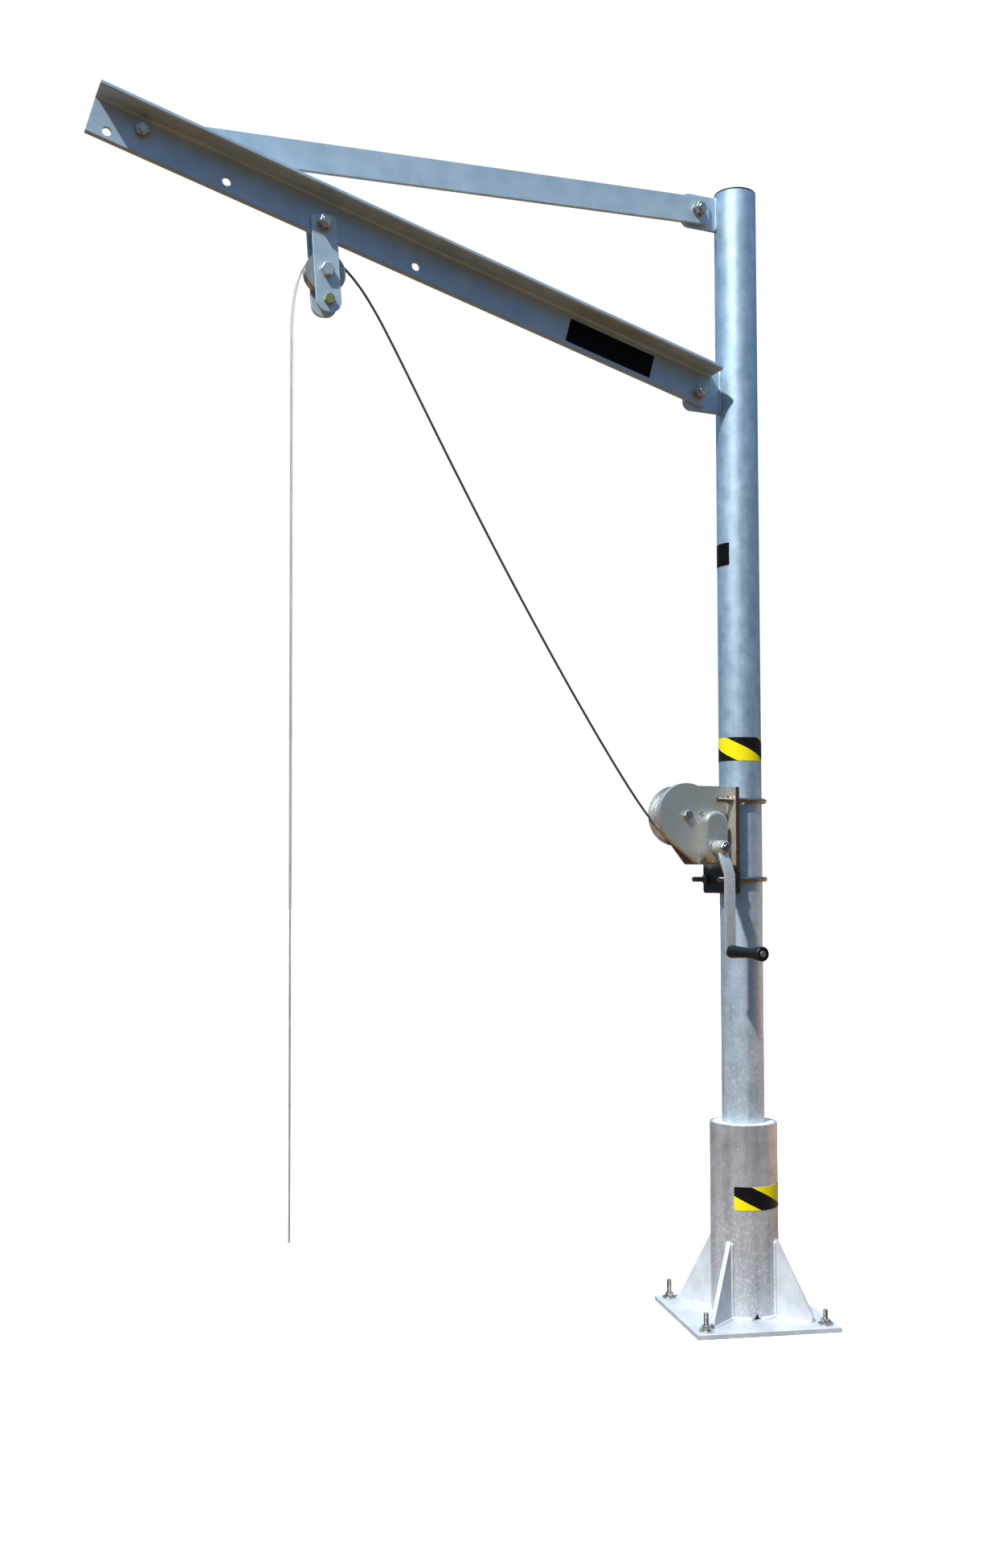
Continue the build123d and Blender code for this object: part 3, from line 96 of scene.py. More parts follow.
# Swept meshes
def add_piece(name, vertices, faces, smooth=True):
    """A mesh object in the scene made from vertices and faces."""
    mesh = bpy.data.meshes.new(name)
    mesh.from_pydata(vertices, [], faces)
    mesh.update()
    mesh.polygons.foreach_set("use_smooth", [smooth] * len(mesh.polygons))
    piece = bpy.data.objects.new(name, mesh)
    scene.collection.objects.link(piece)
    return piece


def path_frames(path):
    """For each point of a path: its direction and a sideways vector that turns as little as possible."""
    directions = []
    for index in range(len(path)):
        before = path[max(index - 1, 0)]
        after = path[min(index + 1, len(path) - 1)]
        directions.append((after - before).normalized())
    sideways = directions[0].orthogonal().normalized()
    frames = []
    for direction in directions:
        sideways = (sideways - direction * sideways.dot(direction)).normalized()
        frames.append((direction, sideways))
    return frames


def sweep(path, radii, twist=0.0, swell=None):
    """Vertices and faces of a closed tube along a path, with one radius for each of its sides.

    The section turns by twist radians per metre, and swell gives a size factor at a distance along it.
    """
    sides = len(radii)
    vertices = []
    faces = []
    along = 0.0
    for index, (direction, sideways) in enumerate(path_frames(path)):
        if index > 0:
            along += (path[index] - path[index - 1]).length
        upward = direction.cross(sideways)
        factor = swell(along) if swell else 1.0
        for side, radius in enumerate(radii):
            angle = 2 * math.pi * side / sides + twist * along
            offset = sideways * math.cos(angle) + upward * math.sin(angle)
            vertices.append(path[index] + offset * radius * factor)
    for ring in range(len(path) - 1):
        for side in range(sides):
            first = ring * sides + side
            second = ring * sides + (side + 1) % sides
            faces.append((first, second, second + sides, first + sides))
    last = (len(path) - 1) * sides
    faces.append(tuple(reversed(range(sides))))
    faces.append(tuple(range(last, last + sides)))
    return vertices, faces


def join_sweeps(sweeps):
    """One list of vertices and one of faces from several sweeps."""
    all_vertices = []
    all_faces = []
    for vertices, faces in sweeps:
        start = len(all_vertices)
        all_vertices += vertices
        all_faces += [tuple(start + corner for corner in face) for face in faces]
    return all_vertices, all_faces


# Wire rope: six strands laid round each other
strand_count = 6
points_per_strand = 6
rope_lay = 0.032
rope_step = 0.002


def rope_section():
    """Radius of the rope at each of its sides: the outline of six round strands that touch."""
    strand = rope_radius / 3
    strand_center = 2 * rope_radius / 3
    half_strand = math.pi / strand_count
    sides = strand_count * points_per_strand
    radii = []
    for side in range(sides):
        angle = 2 * math.pi * side / sides
        off_strand = (angle + half_strand) % (2 * half_strand) - half_strand
        reach = strand**2 - (strand_center * math.sin(off_strand)) ** 2
        radii.append(strand_center * math.cos(off_strand) + math.sqrt(max(reach, 0.0)))
    return radii


def even_points(points, step):
    """The same line with points an even step apart, and its length."""
    lengths = [0.0]
    for first, second in zip(points, points[1:]):
        lengths.append(lengths[-1] + (second - first).length)
    count = round(lengths[-1] / step)
    placed = []
    index = 0
    for number in range(count + 1):
        target = lengths[-1] * number / count
        while index < len(points) - 2 and lengths[index + 1] < target:
            index += 1
        share = (target - lengths[index]) / (lengths[index + 1] - lengths[index])
        placed.append(points[index].lerp(points[index + 1], share))
    return placed, lengths[-1]


def spline_points(name, route):
    """Points of the smooth NURBS line that has the route as its control points."""
    curve = bpy.data.curves.new(name, "CURVE")
    curve.dimensions = "3D"
    spline = curve.splines.new("NURBS")
    spline.points.add(len(route) - 1)
    for point, place in zip(spline.points, route):
        point.co = (*place, 1.0)
    spline.order_u = 3
    spline.use_endpoint_u = True
    spline.resolution_u = 24
    holder = bpy.data.objects.new(name, curve)
    mesh = bpy.data.meshes.new_from_object(holder)
    points = [vertex.co.copy() for vertex in mesh.vertices]
    bpy.data.objects.remove(holder)
    bpy.data.curves.remove(curve)
    bpy.data.meshes.remove(mesh)
    return points


def share_between(value, low, high):
    """How far a value is from low to high, from 0 to 1."""
    return min(max((value - low) / (high - low), 0.0), 1.0)


# Grease on the rope: it ends past the sheave's axle, is full before it and ends again before the drum
grease_past_axle = 0.02
grease_full = 0.06
grease_off_drum = 0.02


def mark_rope(piece):
    """Store on each point how far it stands out of the grooves between the strands, and how greasy it is.

    The rope is greasy from the drum to the sheave, and clean on the drum and on the fall.
    """
    radii = rope_section()
    low = min(radii)
    high = max(radii)
    heights = [share_between(radius, low, high) for radius in radii]
    drum_side = drum_x - rope_on_drum
    grease = []
    for vertex in piece.data.vertices:
        before_sheave = share_between(vertex.co.x, axle_x - grease_past_axle, axle_x + grease_full)
        on_drum = share_between(vertex.co.x, drum_side - grease_off_drum, drum_side)
        grease.append(before_sheave - on_drum)
    marks = {"strand_height": heights * (len(grease) // len(radii)), "grease": grease}
    for name, values in marks.items():
        piece.data.attributes.new(name, "FLOAT", "POINT").data.foreach_set("value", values)


# Route of the free rope, as in the model: round the drum, up to the sheave, over it and down.
# The corner where it leaves the drum is lifted, so that the smooth line stays off the layer below.
free_slot = 0.0175
drum_bend_count = 7
drum_bend_half_turn = 22.5
leaving_lift = 0.0018
lead_bends = [
    (-0.2082, 1.0280),
    (-0.2410, 1.0690),
    (-0.2789, 1.1205),
    (-0.3203, 1.1801),
    (-0.3618, 1.2419),
    (-0.4023, 1.3037),
    (-0.4422, 1.3661),
    (-0.4815, 1.4287),
    (-0.5203, 1.4918),
    (-0.5588, 1.5555),
    (-0.5968, 1.6194),
    (-0.6344, 1.6837),
    (-0.6716, 1.7483),
    (-0.7086, 1.8134),
    (-0.7452, 1.8783),
    (-0.7819, 1.9428),
    (-0.8186, 2.0043),
    (-0.8571, 2.0565),
]
sheave_bend_angles = [65.0, 103.0, 141.0]
sheave_bend_half_turn = 19.0
fall_bends = [(-0.9765, 2.0420), (-0.9860, 1.9700), (-0.9856, 1.8980)]
rope_end_x = -0.9770
rope_end_height = 0.240

lead_x, lead_z = lead_bends[0]
lead_span = math.hypot(lead_x - drum_x, lead_z - drum_z)
lead_bearing = math.atan2(lead_z - drum_z, lead_x - drum_x)
touch_bearing = math.degrees(lead_bearing + math.acos(rope_on_drum / lead_span))


def round_point(center_x, center_z, radius, bearing, depth):
    """A place at a bearing round a level axis along Y, at a depth along that axis."""
    angle = math.radians(bearing)
    return Vector((center_x + radius * math.cos(angle), depth, center_z + radius * math.sin(angle)))


wrap_corner = rope_on_drum / math.cos(math.radians(drum_bend_half_turn))
wrap_end = touch_bearing + 2 * drum_bend_half_turn * drum_bend_count
rope_route = [round_point(drum_x, drum_z, rope_on_drum, wrap_end, free_slot)]
for bend in reversed(range(drum_bend_count)):
    bearing = touch_bearing + drum_bend_half_turn * (2 * bend + 1)
    corner = wrap_corner + (leaving_lift if bend == 0 else 0.0)
    rope_route.append(round_point(drum_x, drum_z, corner, bearing, free_slot))
for index, (bend_x, bend_z) in enumerate(lead_bends):
    share = max(0.0, (index - 1) / (len(lead_bends) - 1))
    rope_route.append(Vector((bend_x, free_slot * (1 - share), bend_z)))
sheave_corner = rope_on_sheave / math.cos(math.radians(sheave_bend_half_turn))
for bearing in sheave_bend_angles:
    rope_route.append(round_point(axle_x, axle_z, sheave_corner, bearing, 0.0))
for bend_x, bend_z in fall_bends:
    rope_route.append(Vector((bend_x, 0.0, bend_z)))
rope_route.append(Vector((rope_end_x, 0.0, rope_end_height)))

rope_line, rope_length = even_points(spline_points("rope_route", rope_route), rope_step)
rope_twist = 2 * math.pi / rope_lay
hoist_rope = add_piece("hoist_rope_strands", *sweep(rope_line, rope_section(), rope_twist))
mark_rope(hoist_rope)
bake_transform(hoist_rope)
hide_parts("hoist_rope")

# Rope wound on the drum: the outer layer and the layer that shows between its turns
turn_points = 48
inner_radius = 0.0402
inner_front = -0.0101
inner_turns = 5


def helix(radius, first_depth, turns):
    """Points round the drum axis, working along it by the rope's pitch each turn."""
    points = []
    for step in range(turns * turn_points + 1):
        depth = first_depth + rope_pitch * step / turn_points
        points.append(round_point(drum_x, drum_z, radius, 360 * step / turn_points, depth))
    return points


winding_lines = [
    helix(rope_on_drum, winding_front, winding_turns),
    helix(inner_radius, inner_front, inner_turns),
]
winding_sweeps = []
for line in winding_lines:
    even_line = even_points(line, rope_step)[0]
    winding_sweeps.append(sweep(even_line, rope_section(), rope_twist))
drum_rope = add_piece("drum_rope_turns", *join_sweeps(winding_sweeps))
mark_rope(drum_rope)
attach(drum_rope, "drum")
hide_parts("rope_winding", "rope_core")

# Weld beads; the shares are parts of a bead's radius
bead_sides = 12
bead_step = 0.0012
bead_taper = 0.004
bead_end = 0.02
middle_share = 0.94
ripple_share = 0.05
ripple_length = 0.0050
uneven_share = 0.22
uneven_waves = 45
seed_step = 3.7


def bead(path, radius, seed):
    """A bead of weld metal along a path, with the ripples of its passes, uneven and tapered at its ends."""
    line, length = even_points(path, bead_step)

    def swell(along):
        ripple = abs(math.sin(math.pi * along / ripple_length + seed))
        uneven = noise.noise(Vector((along * uneven_waves, seed * seed_step, 0.0)))
        body = middle_share + ripple_share * ripple + uneven_share * uneven
        from_end = min(along, length - along, bead_taper) / bead_taper
        return body * math.sqrt(max(from_end, bead_end))

    return sweep(line, [radius] * bead_sides, swell=swell)


def polar(radius, bearing, height):
    """A place round the slew axis."""
    angle = math.radians(bearing)
    return Vector((radius * math.cos(angle), radius * math.sin(angle), height))


foot_bead = 0.0050
gusset_bead = 0.0032
lug_bead = 0.0030
bead_sink = 0.0008
bead_short = 0.002
corner_bearings = [plate_turn + 45 + 90 * quarter for quarter in range(4)]
foot_step = 2
foot_first = round(drain_bearing + drain_half)
foot_last = round(drain_bearing - drain_half + 360)
foot_bearings = range(foot_first, foot_last + 1, foot_step)
foot_path = [polar(socket_radius + bead_sink, bearing, plate_top + bead_sink) for bearing in foot_bearings]
base_beads = [bead(foot_path, foot_bead, 0)]
for quarter, bearing in enumerate(corner_bearings):
    side = polar(1.0, bearing + 90, 0.0)
    for hand in (-1, 1):
        shift = side * (hand * (gusset_half + bead_sink))
        top = polar(socket_radius + bead_sink, bearing, gusset_top - bead_short) + shift
        foot = polar(socket_radius + bead_sink, bearing, plate_top + bead_sink) + shift
        toe = polar(gusset_reach - bead_short, bearing, plate_top + bead_sink) + shift
        base_beads.append(bead([top, foot], gusset_bead, 10 * quarter + hand))
        base_beads.append(bead([foot, toe], gusset_bead, 10 * quarter + hand + 5))
base_welds = add_piece("base_welds", *join_sweeps(base_beads))
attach(base_welds, "base")

lug_beads = []
for number, lug in enumerate(("lower_lug", "upper_lug")):
    low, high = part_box(lug)
    for face, outward in ((low.y, -1), (high.y, 1)):
        depth = face + outward * bead_sink
        reach = -math.sqrt(mast_radius**2 - depth**2) - bead_sink
        foot = Vector((reach, depth, low.z))
        top = Vector((reach, depth, high.z))
        lug_beads.append(bead([foot, top], lug_bead, number + face))
lug_welds = add_piece("lug_welds", *join_sweeps(lug_beads))
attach(lug_welds, "mast")

# Threads on the free ends of studs and bolts; the shares are parts of the pitch
thread_sides = 14
thread_steps = 8
thread_chamfer = 0.001
thread_sink = 0.0001
thread_middle_share = 0.16
thread_half_share = 0.20
m10_radius = 0.005
m10_pitch = 0.0015
m16_radius = 0.008
m16_pitch = 0.0020


def thread(foot, tip, radius, pitch):
    """The thread on a free end: one ridge that winds round the shank, from the nut to the chamfer."""
    along = tip - foot
    length = along.length - thread_chamfer
    rings = max(2, round(length * thread_steps / pitch))
    path = [foot + along.normalized() * (length * ring / rings) for ring in range(rings + 1)]
    middle = radius - thread_sink + thread_middle_share * pitch
    ridge = [abs(1 - 2 * side / thread_sides) for side in range(thread_sides)]
    radii = [middle + thread_half_share * pitch * (2 * height - 1) for height in ridge]
    return sweep(path, radii, twist=2 * math.pi / pitch)


anchor_ring = 0.17678
anchor_nut_top = 0.022
anchor_tops = (0.044, 0.050, 0.046, 0.041)
anchor_ends = []
for bearing, top in zip(corner_bearings, anchor_tops):
    foot = polar(anchor_ring, bearing, anchor_nut_top)
    tip = polar(anchor_ring, bearing, top)
    anchor_ends.append(thread(foot, tip, m10_radius, m10_pitch))
anchor_threads = add_piece("anchor_threads", *join_sweeps(anchor_ends))
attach(anchor_threads, "base")

u_bolt_x = -0.0615
u_bolt_half_span = 0.0495
u_bolt_heights = (0.903, 1.067)
u_bolt_reach = Vector((-0.0255, 0.0, 0.0))
u_bolt_ends = []
for depth in (-u_bolt_half_span, u_bolt_half_span):
    for height in u_bolt_heights:
        foot = Vector((u_bolt_x, depth, height))
        u_bolt_ends.append(thread(foot, foot + u_bolt_reach, m10_radius, m10_pitch))
u_bolt_threads = add_piece("u_bolt_threads", *join_sweeps(u_bolt_ends))

large_feet = [
    Vector((-0.92892, -0.0356, 2.15106)),
    Vector((-1.27461, -0.0260, 2.26709)),
    Vector((-0.09395, -0.0210, 2.330)),
    Vector((-0.10195, -0.0290, 1.930)),
]
large_reach = Vector((0.0, -0.0040, 0.0))
large_ends = [thread(foot, foot + large_reach, m16_radius, m16_pitch) for foot in large_feet]
crane_threads = add_piece("crane_threads", *join_sweeps(large_ends))
for piece in (u_bolt_threads, crane_threads):
    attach(piece, "mast")

# Drops of zinc that set on the socket: the bearing, top and length of each
drop_radius = 0.0022
drop_places = [
    (-131.0, 0.365, 0.004),
    (-131.5, 0.354, 0.006),
    (-84.0, 0.300, 0.005),
    (-62.0, 0.180, 0.008),
    (-158.0, 0.240, 0.006),
    (-20.0, 0.330, 0.007),
    (30.0, 0.120, 0.005),
    (75.0, 0.310, 0.006),
    (128.0, 0.260, 0.008),
    (165.0, 0.350, 0.005),
]
drop_sweeps = []
for number, (bearing, top, length) in enumerate(drop_places):
    drop_line = [polar(socket_radius - drop_radius / 2, bearing, height) for height in (top, top - length)]
    drop_sweeps.append(bead(drop_line, drop_radius, number))
socket_drops = add_piece("socket_drops", *join_sweeps(drop_sweeps))
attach(socket_drops, "base")

# Rounded edges on plates, nuts, washers and the jib, so that they catch the light
weld_distance = 0.00001
flat_angle = math.radians(0.5)
sharp_angle = math.radians(40)
rounding_segments = 3
edge_radii = {
    0.0022: ["crank_arm"],
    0.0012: ["tie_bar", "strap_front", "strap_rear", "lower_lug", "upper_lug", "winch_mount_plate",
             "base_gussets", "base_plate"],
    0.0006: ["winch_frame", "anchor_washers", "anchor_nuts", "crane_nuts", "crane_washers", "block_nuts",
             "u_bolt_nuts", "drum_axle_nut", "crank_nut", "jib_beam"],
}
for radius, names in edge_radii.items():
    for name in names:
        nodes[name].modifiers.new("weld", "WELD").merge_threshold = weld_distance
        flat = nodes[name].modifiers.new("flat_faces", "DECIMATE")
        flat.decimate_type = "DISSOLVE"
        flat.angle_limit = flat_angle
        rounding = nodes[name].modifiers.new("rounding", "BEVEL")
        rounding.width = radius
        rounding.segments = rounding_segments
        rounding.limit_method = "ANGLE"
        rounding.angle_limit = sharp_angle
        nodes[name].modifiers.new("shading", "WEIGHTED_NORMAL")


# Surfaces
def set_stops(ramp, stops):
    """Give a colour ramp its stops, each a position and a colour."""
    elements = ramp.color_ramp.elements
    while len(elements) < len(stops):
        elements.new(1.0)
    for element, (position, colour) in zip(elements, stops):
        element.position = position
        element.color = (*colour, 1.0)


class Surface:
    """A material with one Principled shader, and short calls for the nodes that feed it."""

    def __init__(self, name, **inputs):
        self.material = bpy.data.materials.new(name)
        self.material.use_nodes = True
        self.tree = self.material.node_tree
        self.shader = self.tree.nodes["Principled BSDF"]
        self.set(**inputs)

    def feed(self, socket, value):
        """Link a socket, or set it to a constant."""
        if isinstance(value, bpy.types.NodeSocket):
            self.tree.links.new(value, socket)
        else:
            socket.default_value = value

    def set(self, **inputs):
        """Feed inputs of the shader, named with underscores for spaces."""
        for name, value in inputs.items():
            self.feed(self.shader.inputs[name.replace("_", " ")], value)

    def add(self, kind, **settings):
        """A new node with its properties set."""
        node = self.tree.nodes.new("ShaderNode" + kind)
        for name, value in settings.items():
            setattr(node, name, value)
        return node

    def place(self, stretch=(1.0, 1.0, 1.0), turn=0.0):
        """The place on the object, in metres, with each direction multiplied, turned round Z."""
        mapping = self.add("Mapping")
        self.feed(mapping.inputs["Vector"], self.add("TexCoord").outputs["Object"])
        mapping.inputs["Scale"].default_value = stretch
        mapping.inputs["Rotation"].default_value = (0.0, 0.0, turn)
        return mapping.outputs["Vector"]

    def axes(self, turn=0.0):
        """X, Y and Z of the place on the object, each as a value."""
        split = self.add("SeparateXYZ")
        self.feed(split.inputs["Vector"], self.place(turn=turn))
        return split.outputs

    def noise(self, scale, detail=3.0, rough=0.5, stretch=(1.0, 1.0, 1.0)):
        """A soft random value; scale is how many blotches there are in a metre."""
        texture = self.add("TexNoise")
        self.feed(texture.inputs["Vector"], self.place(stretch))
        texture.inputs["Scale"].default_value = scale
        texture.inputs["Detail"].default_value = detail
        texture.inputs["Roughness"].default_value = rough
        return texture.outputs["Fac"]

    def math(self, operation, *values):
        """One Math node."""
        node = self.add("Math", operation=operation)
        for socket, value in zip(node.inputs, values):
            self.feed(socket, value)
        return node.outputs["Value"]

    def weigh(self, *parts):
        """The sum of several values, each with its weight."""
        total = 0.0
        for value, weight in parts:
            total = self.math("MULTIPLY_ADD", value, weight, total)
        return total

    def spread(self, value, low, high, to_low=0.0, to_high=1.0):
        """Stretch a range of values to another, and hold it there."""
        node = self.add("MapRange")
        limits = {"From Min": low, "From Max": high, "To Min": to_low, "To Max": to_high}
        for name, limit in limits.items():
            node.inputs[name].default_value = limit
        self.feed(node.inputs["Value"], value)
        return node.outputs["Result"]

    def ramp(self, value, *stops):
        """Colours along a value."""
        node = self.add("ValToRGB")
        set_stops(node, stops)
        self.feed(node.inputs["Fac"], value)
        return node.outputs["Color"]

    def mix(self, share, first, second):
        """One colour, or another where share is 1."""
        node = self.add("Mix", data_type="RGBA")
        for name, value in (("A", first), ("B", second)):
            socket = [item for item in node.inputs if item.name == name and item.type == "RGBA"][0]
            self.feed(socket, value if isinstance(value, bpy.types.NodeSocket) else (*value, 1.0))
        self.feed(node.inputs[0], share)
        return [item for item in node.outputs if item.type == "RGBA"][0]

    def bump(self, height, strength, distance):
        """Raise the surface by a value; distance is in metres."""
        node = self.add("Bump")
        node.inputs["Strength"].default_value = strength
        node.inputs["Distance"].default_value = distance
        self.feed(node.inputs["Height"], height)
        self.set(Normal=node.outputs["Normal"])


bloom_white = (0.56, 0.575, 0.585)
speck_white = (0.84, 0.86, 0.87)


def galvanised(name, dark, light, metallic, least_rough, run, patch=11.0, bloom=None):
    """Hot-dip zinc: cloudy patches, runs and fine grain.

    Run is how many runs there are in a metre, in each direction, and patch how many clouds. Bloom is two
    heights: white dust and pale specks cover what is below the first and fade out at the second.
    """
    surface = Surface(name, Metallic=metallic)
    cloud = surface.noise(patch, detail=6.0, rough=0.62)
    runs = surface.noise(1.0, detail=4.0, rough=0.55, stretch=run)
    fine = surface.noise(420.0, detail=3.0, rough=0.6)
    tone = surface.weigh((cloud, 0.60), (runs, 0.48), (fine, 0.12))
    colour = surface.ramp(surface.spread(tone, 0.38, 0.82), (0.0, dark), (1.0, light))
    rough = surface.math("ADD", surface.weigh((cloud, 0.16), (fine, 0.14)), least_rough)
    if bloom:
        low = surface.spread(surface.axes()["Z"], *bloom, to_low=1.0, to_high=0.0)
        streaks = surface.spread(runs, 0.30, 0.70, to_low=0.10, to_high=0.85)
        dust = surface.math("MULTIPLY", low, streaks)
        coarse = surface.noise(150.0, detail=2.0, rough=0.5)
        dots = surface.spread(coarse, 0.50, 0.74, to_low=0.0, to_high=0.8)
        specks = surface.math("MULTIPLY", low, dots)
        colour = surface.mix(specks, surface.mix(dust, colour, bloom_white), speck_white)
        rough = surface.weigh((rough, 1.0), (dust, 0.12))
        surface.set(Metallic=surface.spread(dust, 0.0, 1.0, to_low=metallic, to_high=metallic / 2))
    surface.set(Base_Color=colour, Roughness=rough)
    surface.bump(surface.weigh((cloud, 0.5), (fine, 0.5)), strength=0.25, distance=0.0006)
    return surface.material


def plated(name, dark, light, tint, rough, metallic=1.0, tint_levels=None):
    """Zinc plating: a thin bright coat with a faint coloured bloom and handling marks.

    Tint levels are two heights: the tint covers what is below, and fades out from the first to the second.
    """
    surface = Surface(name, Metallic=metallic)
    bloom = surface.spread(surface.noise(60.0, detail=4.0, rough=0.55), 0.42, 0.68)
    marks = surface.noise(260.0, detail=4.0, rough=0.65)
    base = surface.ramp(marks, (0.3, dark), (0.75, light))
    if tint_levels:
        height = surface.weigh((surface.axes()["Z"], 1.0), (bloom, 0.004))
        bloom = surface.spread(height, *tint_levels, to_low=1.0, to_high=0.0)
    surface.set(Base_Color=surface.mix(bloom, base, tint))
    surface.set(Roughness=surface.spread(marks, 0.25, 0.8, to_low=rough, to_high=rough + 0.22))
    surface.bump(marks, strength=0.2, distance=0.0003)
    return surface.material


# On the winch's mount plate: the heights between which its painted shade below the winch fades out, and its
# cut sides
painted_shade_levels = (0.930, 0.940)
plate_edge = 0.0648
edge_fade = 0.0006


def mount_steel(name):
    """The plate behind the winch: pale zinc, brown cut edges at its sides, and near-black painted shade
    below the winch, where the winch's shadow falls.
    """
    surface = Surface(name, Metallic=0.4)
    marks = surface.noise(180.0, detail=4.0, rough=0.6)
    stains = surface.noise(40.0, detail=3.0, rough=0.5)
    tone = surface.weigh((marks, 0.6), (stains, 0.4))
    zinc = surface.ramp(tone, (0.35, (0.36, 0.35, 0.29)), (0.65, (0.60, 0.59, 0.52)))
    rust = surface.ramp(marks, (0.3, (0.035, 0.020, 0.012)), (0.7, (0.13, 0.075, 0.045)))
    # Painted shade: a near-black colour that stands for the winch's shadow on the plate below it
    grease = surface.ramp(marks, (0.3, (0.016, 0.017, 0.014)), (0.7, (0.050, 0.052, 0.044)))
    axes = surface.axes()
    on_edge = surface.spread(surface.math("ABSOLUTE", axes["Y"]), plate_edge - edge_fade, plate_edge)
    # The painted shade covers the plate below the winch, with an uneven top edge
    height = surface.weigh((axes["Z"], 1.0), (stains, 0.012))
    below = surface.spread(height, *painted_shade_levels, to_low=1.0, to_high=0.0)
    surface.set(Base_Color=surface.mix(on_edge, surface.mix(below, zinc, grease), rust))
    surface.set(Roughness=surface.spread(marks, 0.25, 0.8, to_low=0.34, to_high=0.56))
    surface.bump(marks, strength=0.2, distance=0.0003)
    return surface.material


def plain(name, dark, light, metallic, rough, grains, shine=0.5):
    """A cast, moulded or machined surface; grains is how many grains there are in a metre."""
    surface = Surface(name, Metallic=metallic, Specular_IOR_Level=shine)
    grain = surface.noise(grains, detail=5.0, rough=0.6)
    surface.set(Base_Color=surface.ramp(grain, (0.3, dark), (0.7, light)))
    surface.set(Roughness=surface.spread(grain, 0.2, 0.8, to_low=rough - 0.08, to_high=rough + 0.1))
    surface.bump(grain, strength=0.25, distance=0.0003)
    return surface.material


def wire(name):
    """Wire strands, brighter on their crowns; the part from the drum to the sheave is dark with grease."""
    surface = Surface(name, Metallic=0.6)
    height = surface.add("Attribute", attribute_name="strand_height").outputs["Fac"]
    dirt = surface.noise(30.0, detail=4.0, rough=0.6)
    tone = surface.weigh((height, 0.7), (dirt, 0.5))
    clean = surface.ramp(tone, (0.25, (0.30, 0.31, 0.31)), (0.95, (0.84, 0.85, 0.84)))
    greasy = surface.ramp(tone, (0.25, (0.010, 0.010, 0.011)), (0.95, (0.16, 0.16, 0.17)))
    grease = surface.add("Attribute", attribute_name="grease").outputs["Fac"]
    surface.set(Base_Color=surface.mix(grease, clean, greasy))
    surface.set(Roughness=surface.spread(dirt, 0.2, 0.8, to_low=0.3, to_high=0.55))
    surface.bump(surface.noise(1800.0, detail=2.0, rough=0.5), strength=0.3, distance=0.0002)
    return surface.material


# Hazard stripes: the height of a yellow and a black one, how they slope, and the seam behind
stripe_period = 0.065
stripe_slope = math.atan(0.5)
seam_bearing = 57.4
spare_stripes = 40


def hazard_tape(name, radius, edge_bearing, edge_height):
    """Yellow tape with black stripes that slope round a tube, with its seam behind.

    The edge is a place on the lower edge of a black stripe. Spare stripes keep their count above zero.
    """
    surface = Surface(name, Specular_IOR_Level=0.2)
    turn = math.radians(180 - seam_bearing)
    axes = surface.axes(turn)
    bearing = surface.math("ARCTAN2", axes["Y"], axes["X"])
    across = radius * math.sin(stripe_slope)
    upward = math.cos(stripe_slope)
    edge = across * (math.radians(edge_bearing) + turn) + upward * edge_height
    count = surface.weigh((bearing, across / stripe_period), (axes["Z"], upward / stripe_period))
    phase = surface.math("FRACT", surface.math("SUBTRACT", count, edge / stripe_period - spare_stripes))
    black = surface.math("LESS_THAN", phase, 0.5)
    wear = surface.noise(120.0, detail=5.0, rough=0.6)
    yellow = surface.ramp(wear, (0.3, (0.92, 0.76, 0.004)), (0.7, (0.98, 0.83, 0.008)))
    ink = surface.ramp(wear, (0.3, (0.003, 0.003, 0.004)), (0.7, (0.010, 0.010, 0.011)))
    colour = surface.mix(black, yellow, ink)
    surface.set(Base_Color=colour, Roughness=surface.spread(wear, 0.2, 0.8, to_low=0.32, to_high=0.52))
    surface.bump(surface.noise(45.0, detail=3.0, rough=0.5), strength=0.25, distance=0.0006)
    return surface.material


# Finishes, each with its dark and light colour
mast_zinc = galvanised("mast_zinc", (0.34, 0.48, 0.57), (0.66, 0.82, 0.92), metallic=0.90, least_rough=0.40,
                       run=(36.0, 36.0, 2.4), patch=36.0, bloom=(0.40, 1.10))
jib_zinc = galvanised("jib_zinc", (0.36, 0.51, 0.62), (0.55, 0.72, 0.83), metallic=0.42, least_rough=0.34,
                      run=(6.0, 30.0, 20.0), patch=24.0)
tie_zinc = galvanised("tie_zinc", (0.41, 0.57, 0.66), (0.62, 0.79, 0.88), metallic=0.50, least_rough=0.38,
                      run=(4.0, 30.0, 16.0), patch=24.0)
socket_zinc = galvanised("socket_zinc", (0.36, 0.355, 0.35), (0.74, 0.76, 0.78), metallic=0.60,
                         least_rough=0.28, run=(46.0, 46.0, 1.6), patch=30.0, bloom=(0.20, 0.36))
plate_zinc = galvanised("plate_zinc", (0.42, 0.45, 0.47), (0.74, 0.77, 0.79), metallic=0.20,
                        least_rough=0.36, run=(16.0, 16.0, 9.0), patch=24.0)
weld_zinc = galvanised("weld_zinc", (0.54, 0.56, 0.58), (0.74, 0.76, 0.78), metallic=0.25, least_rough=0.40,
                       run=(60.0, 60.0, 60.0))

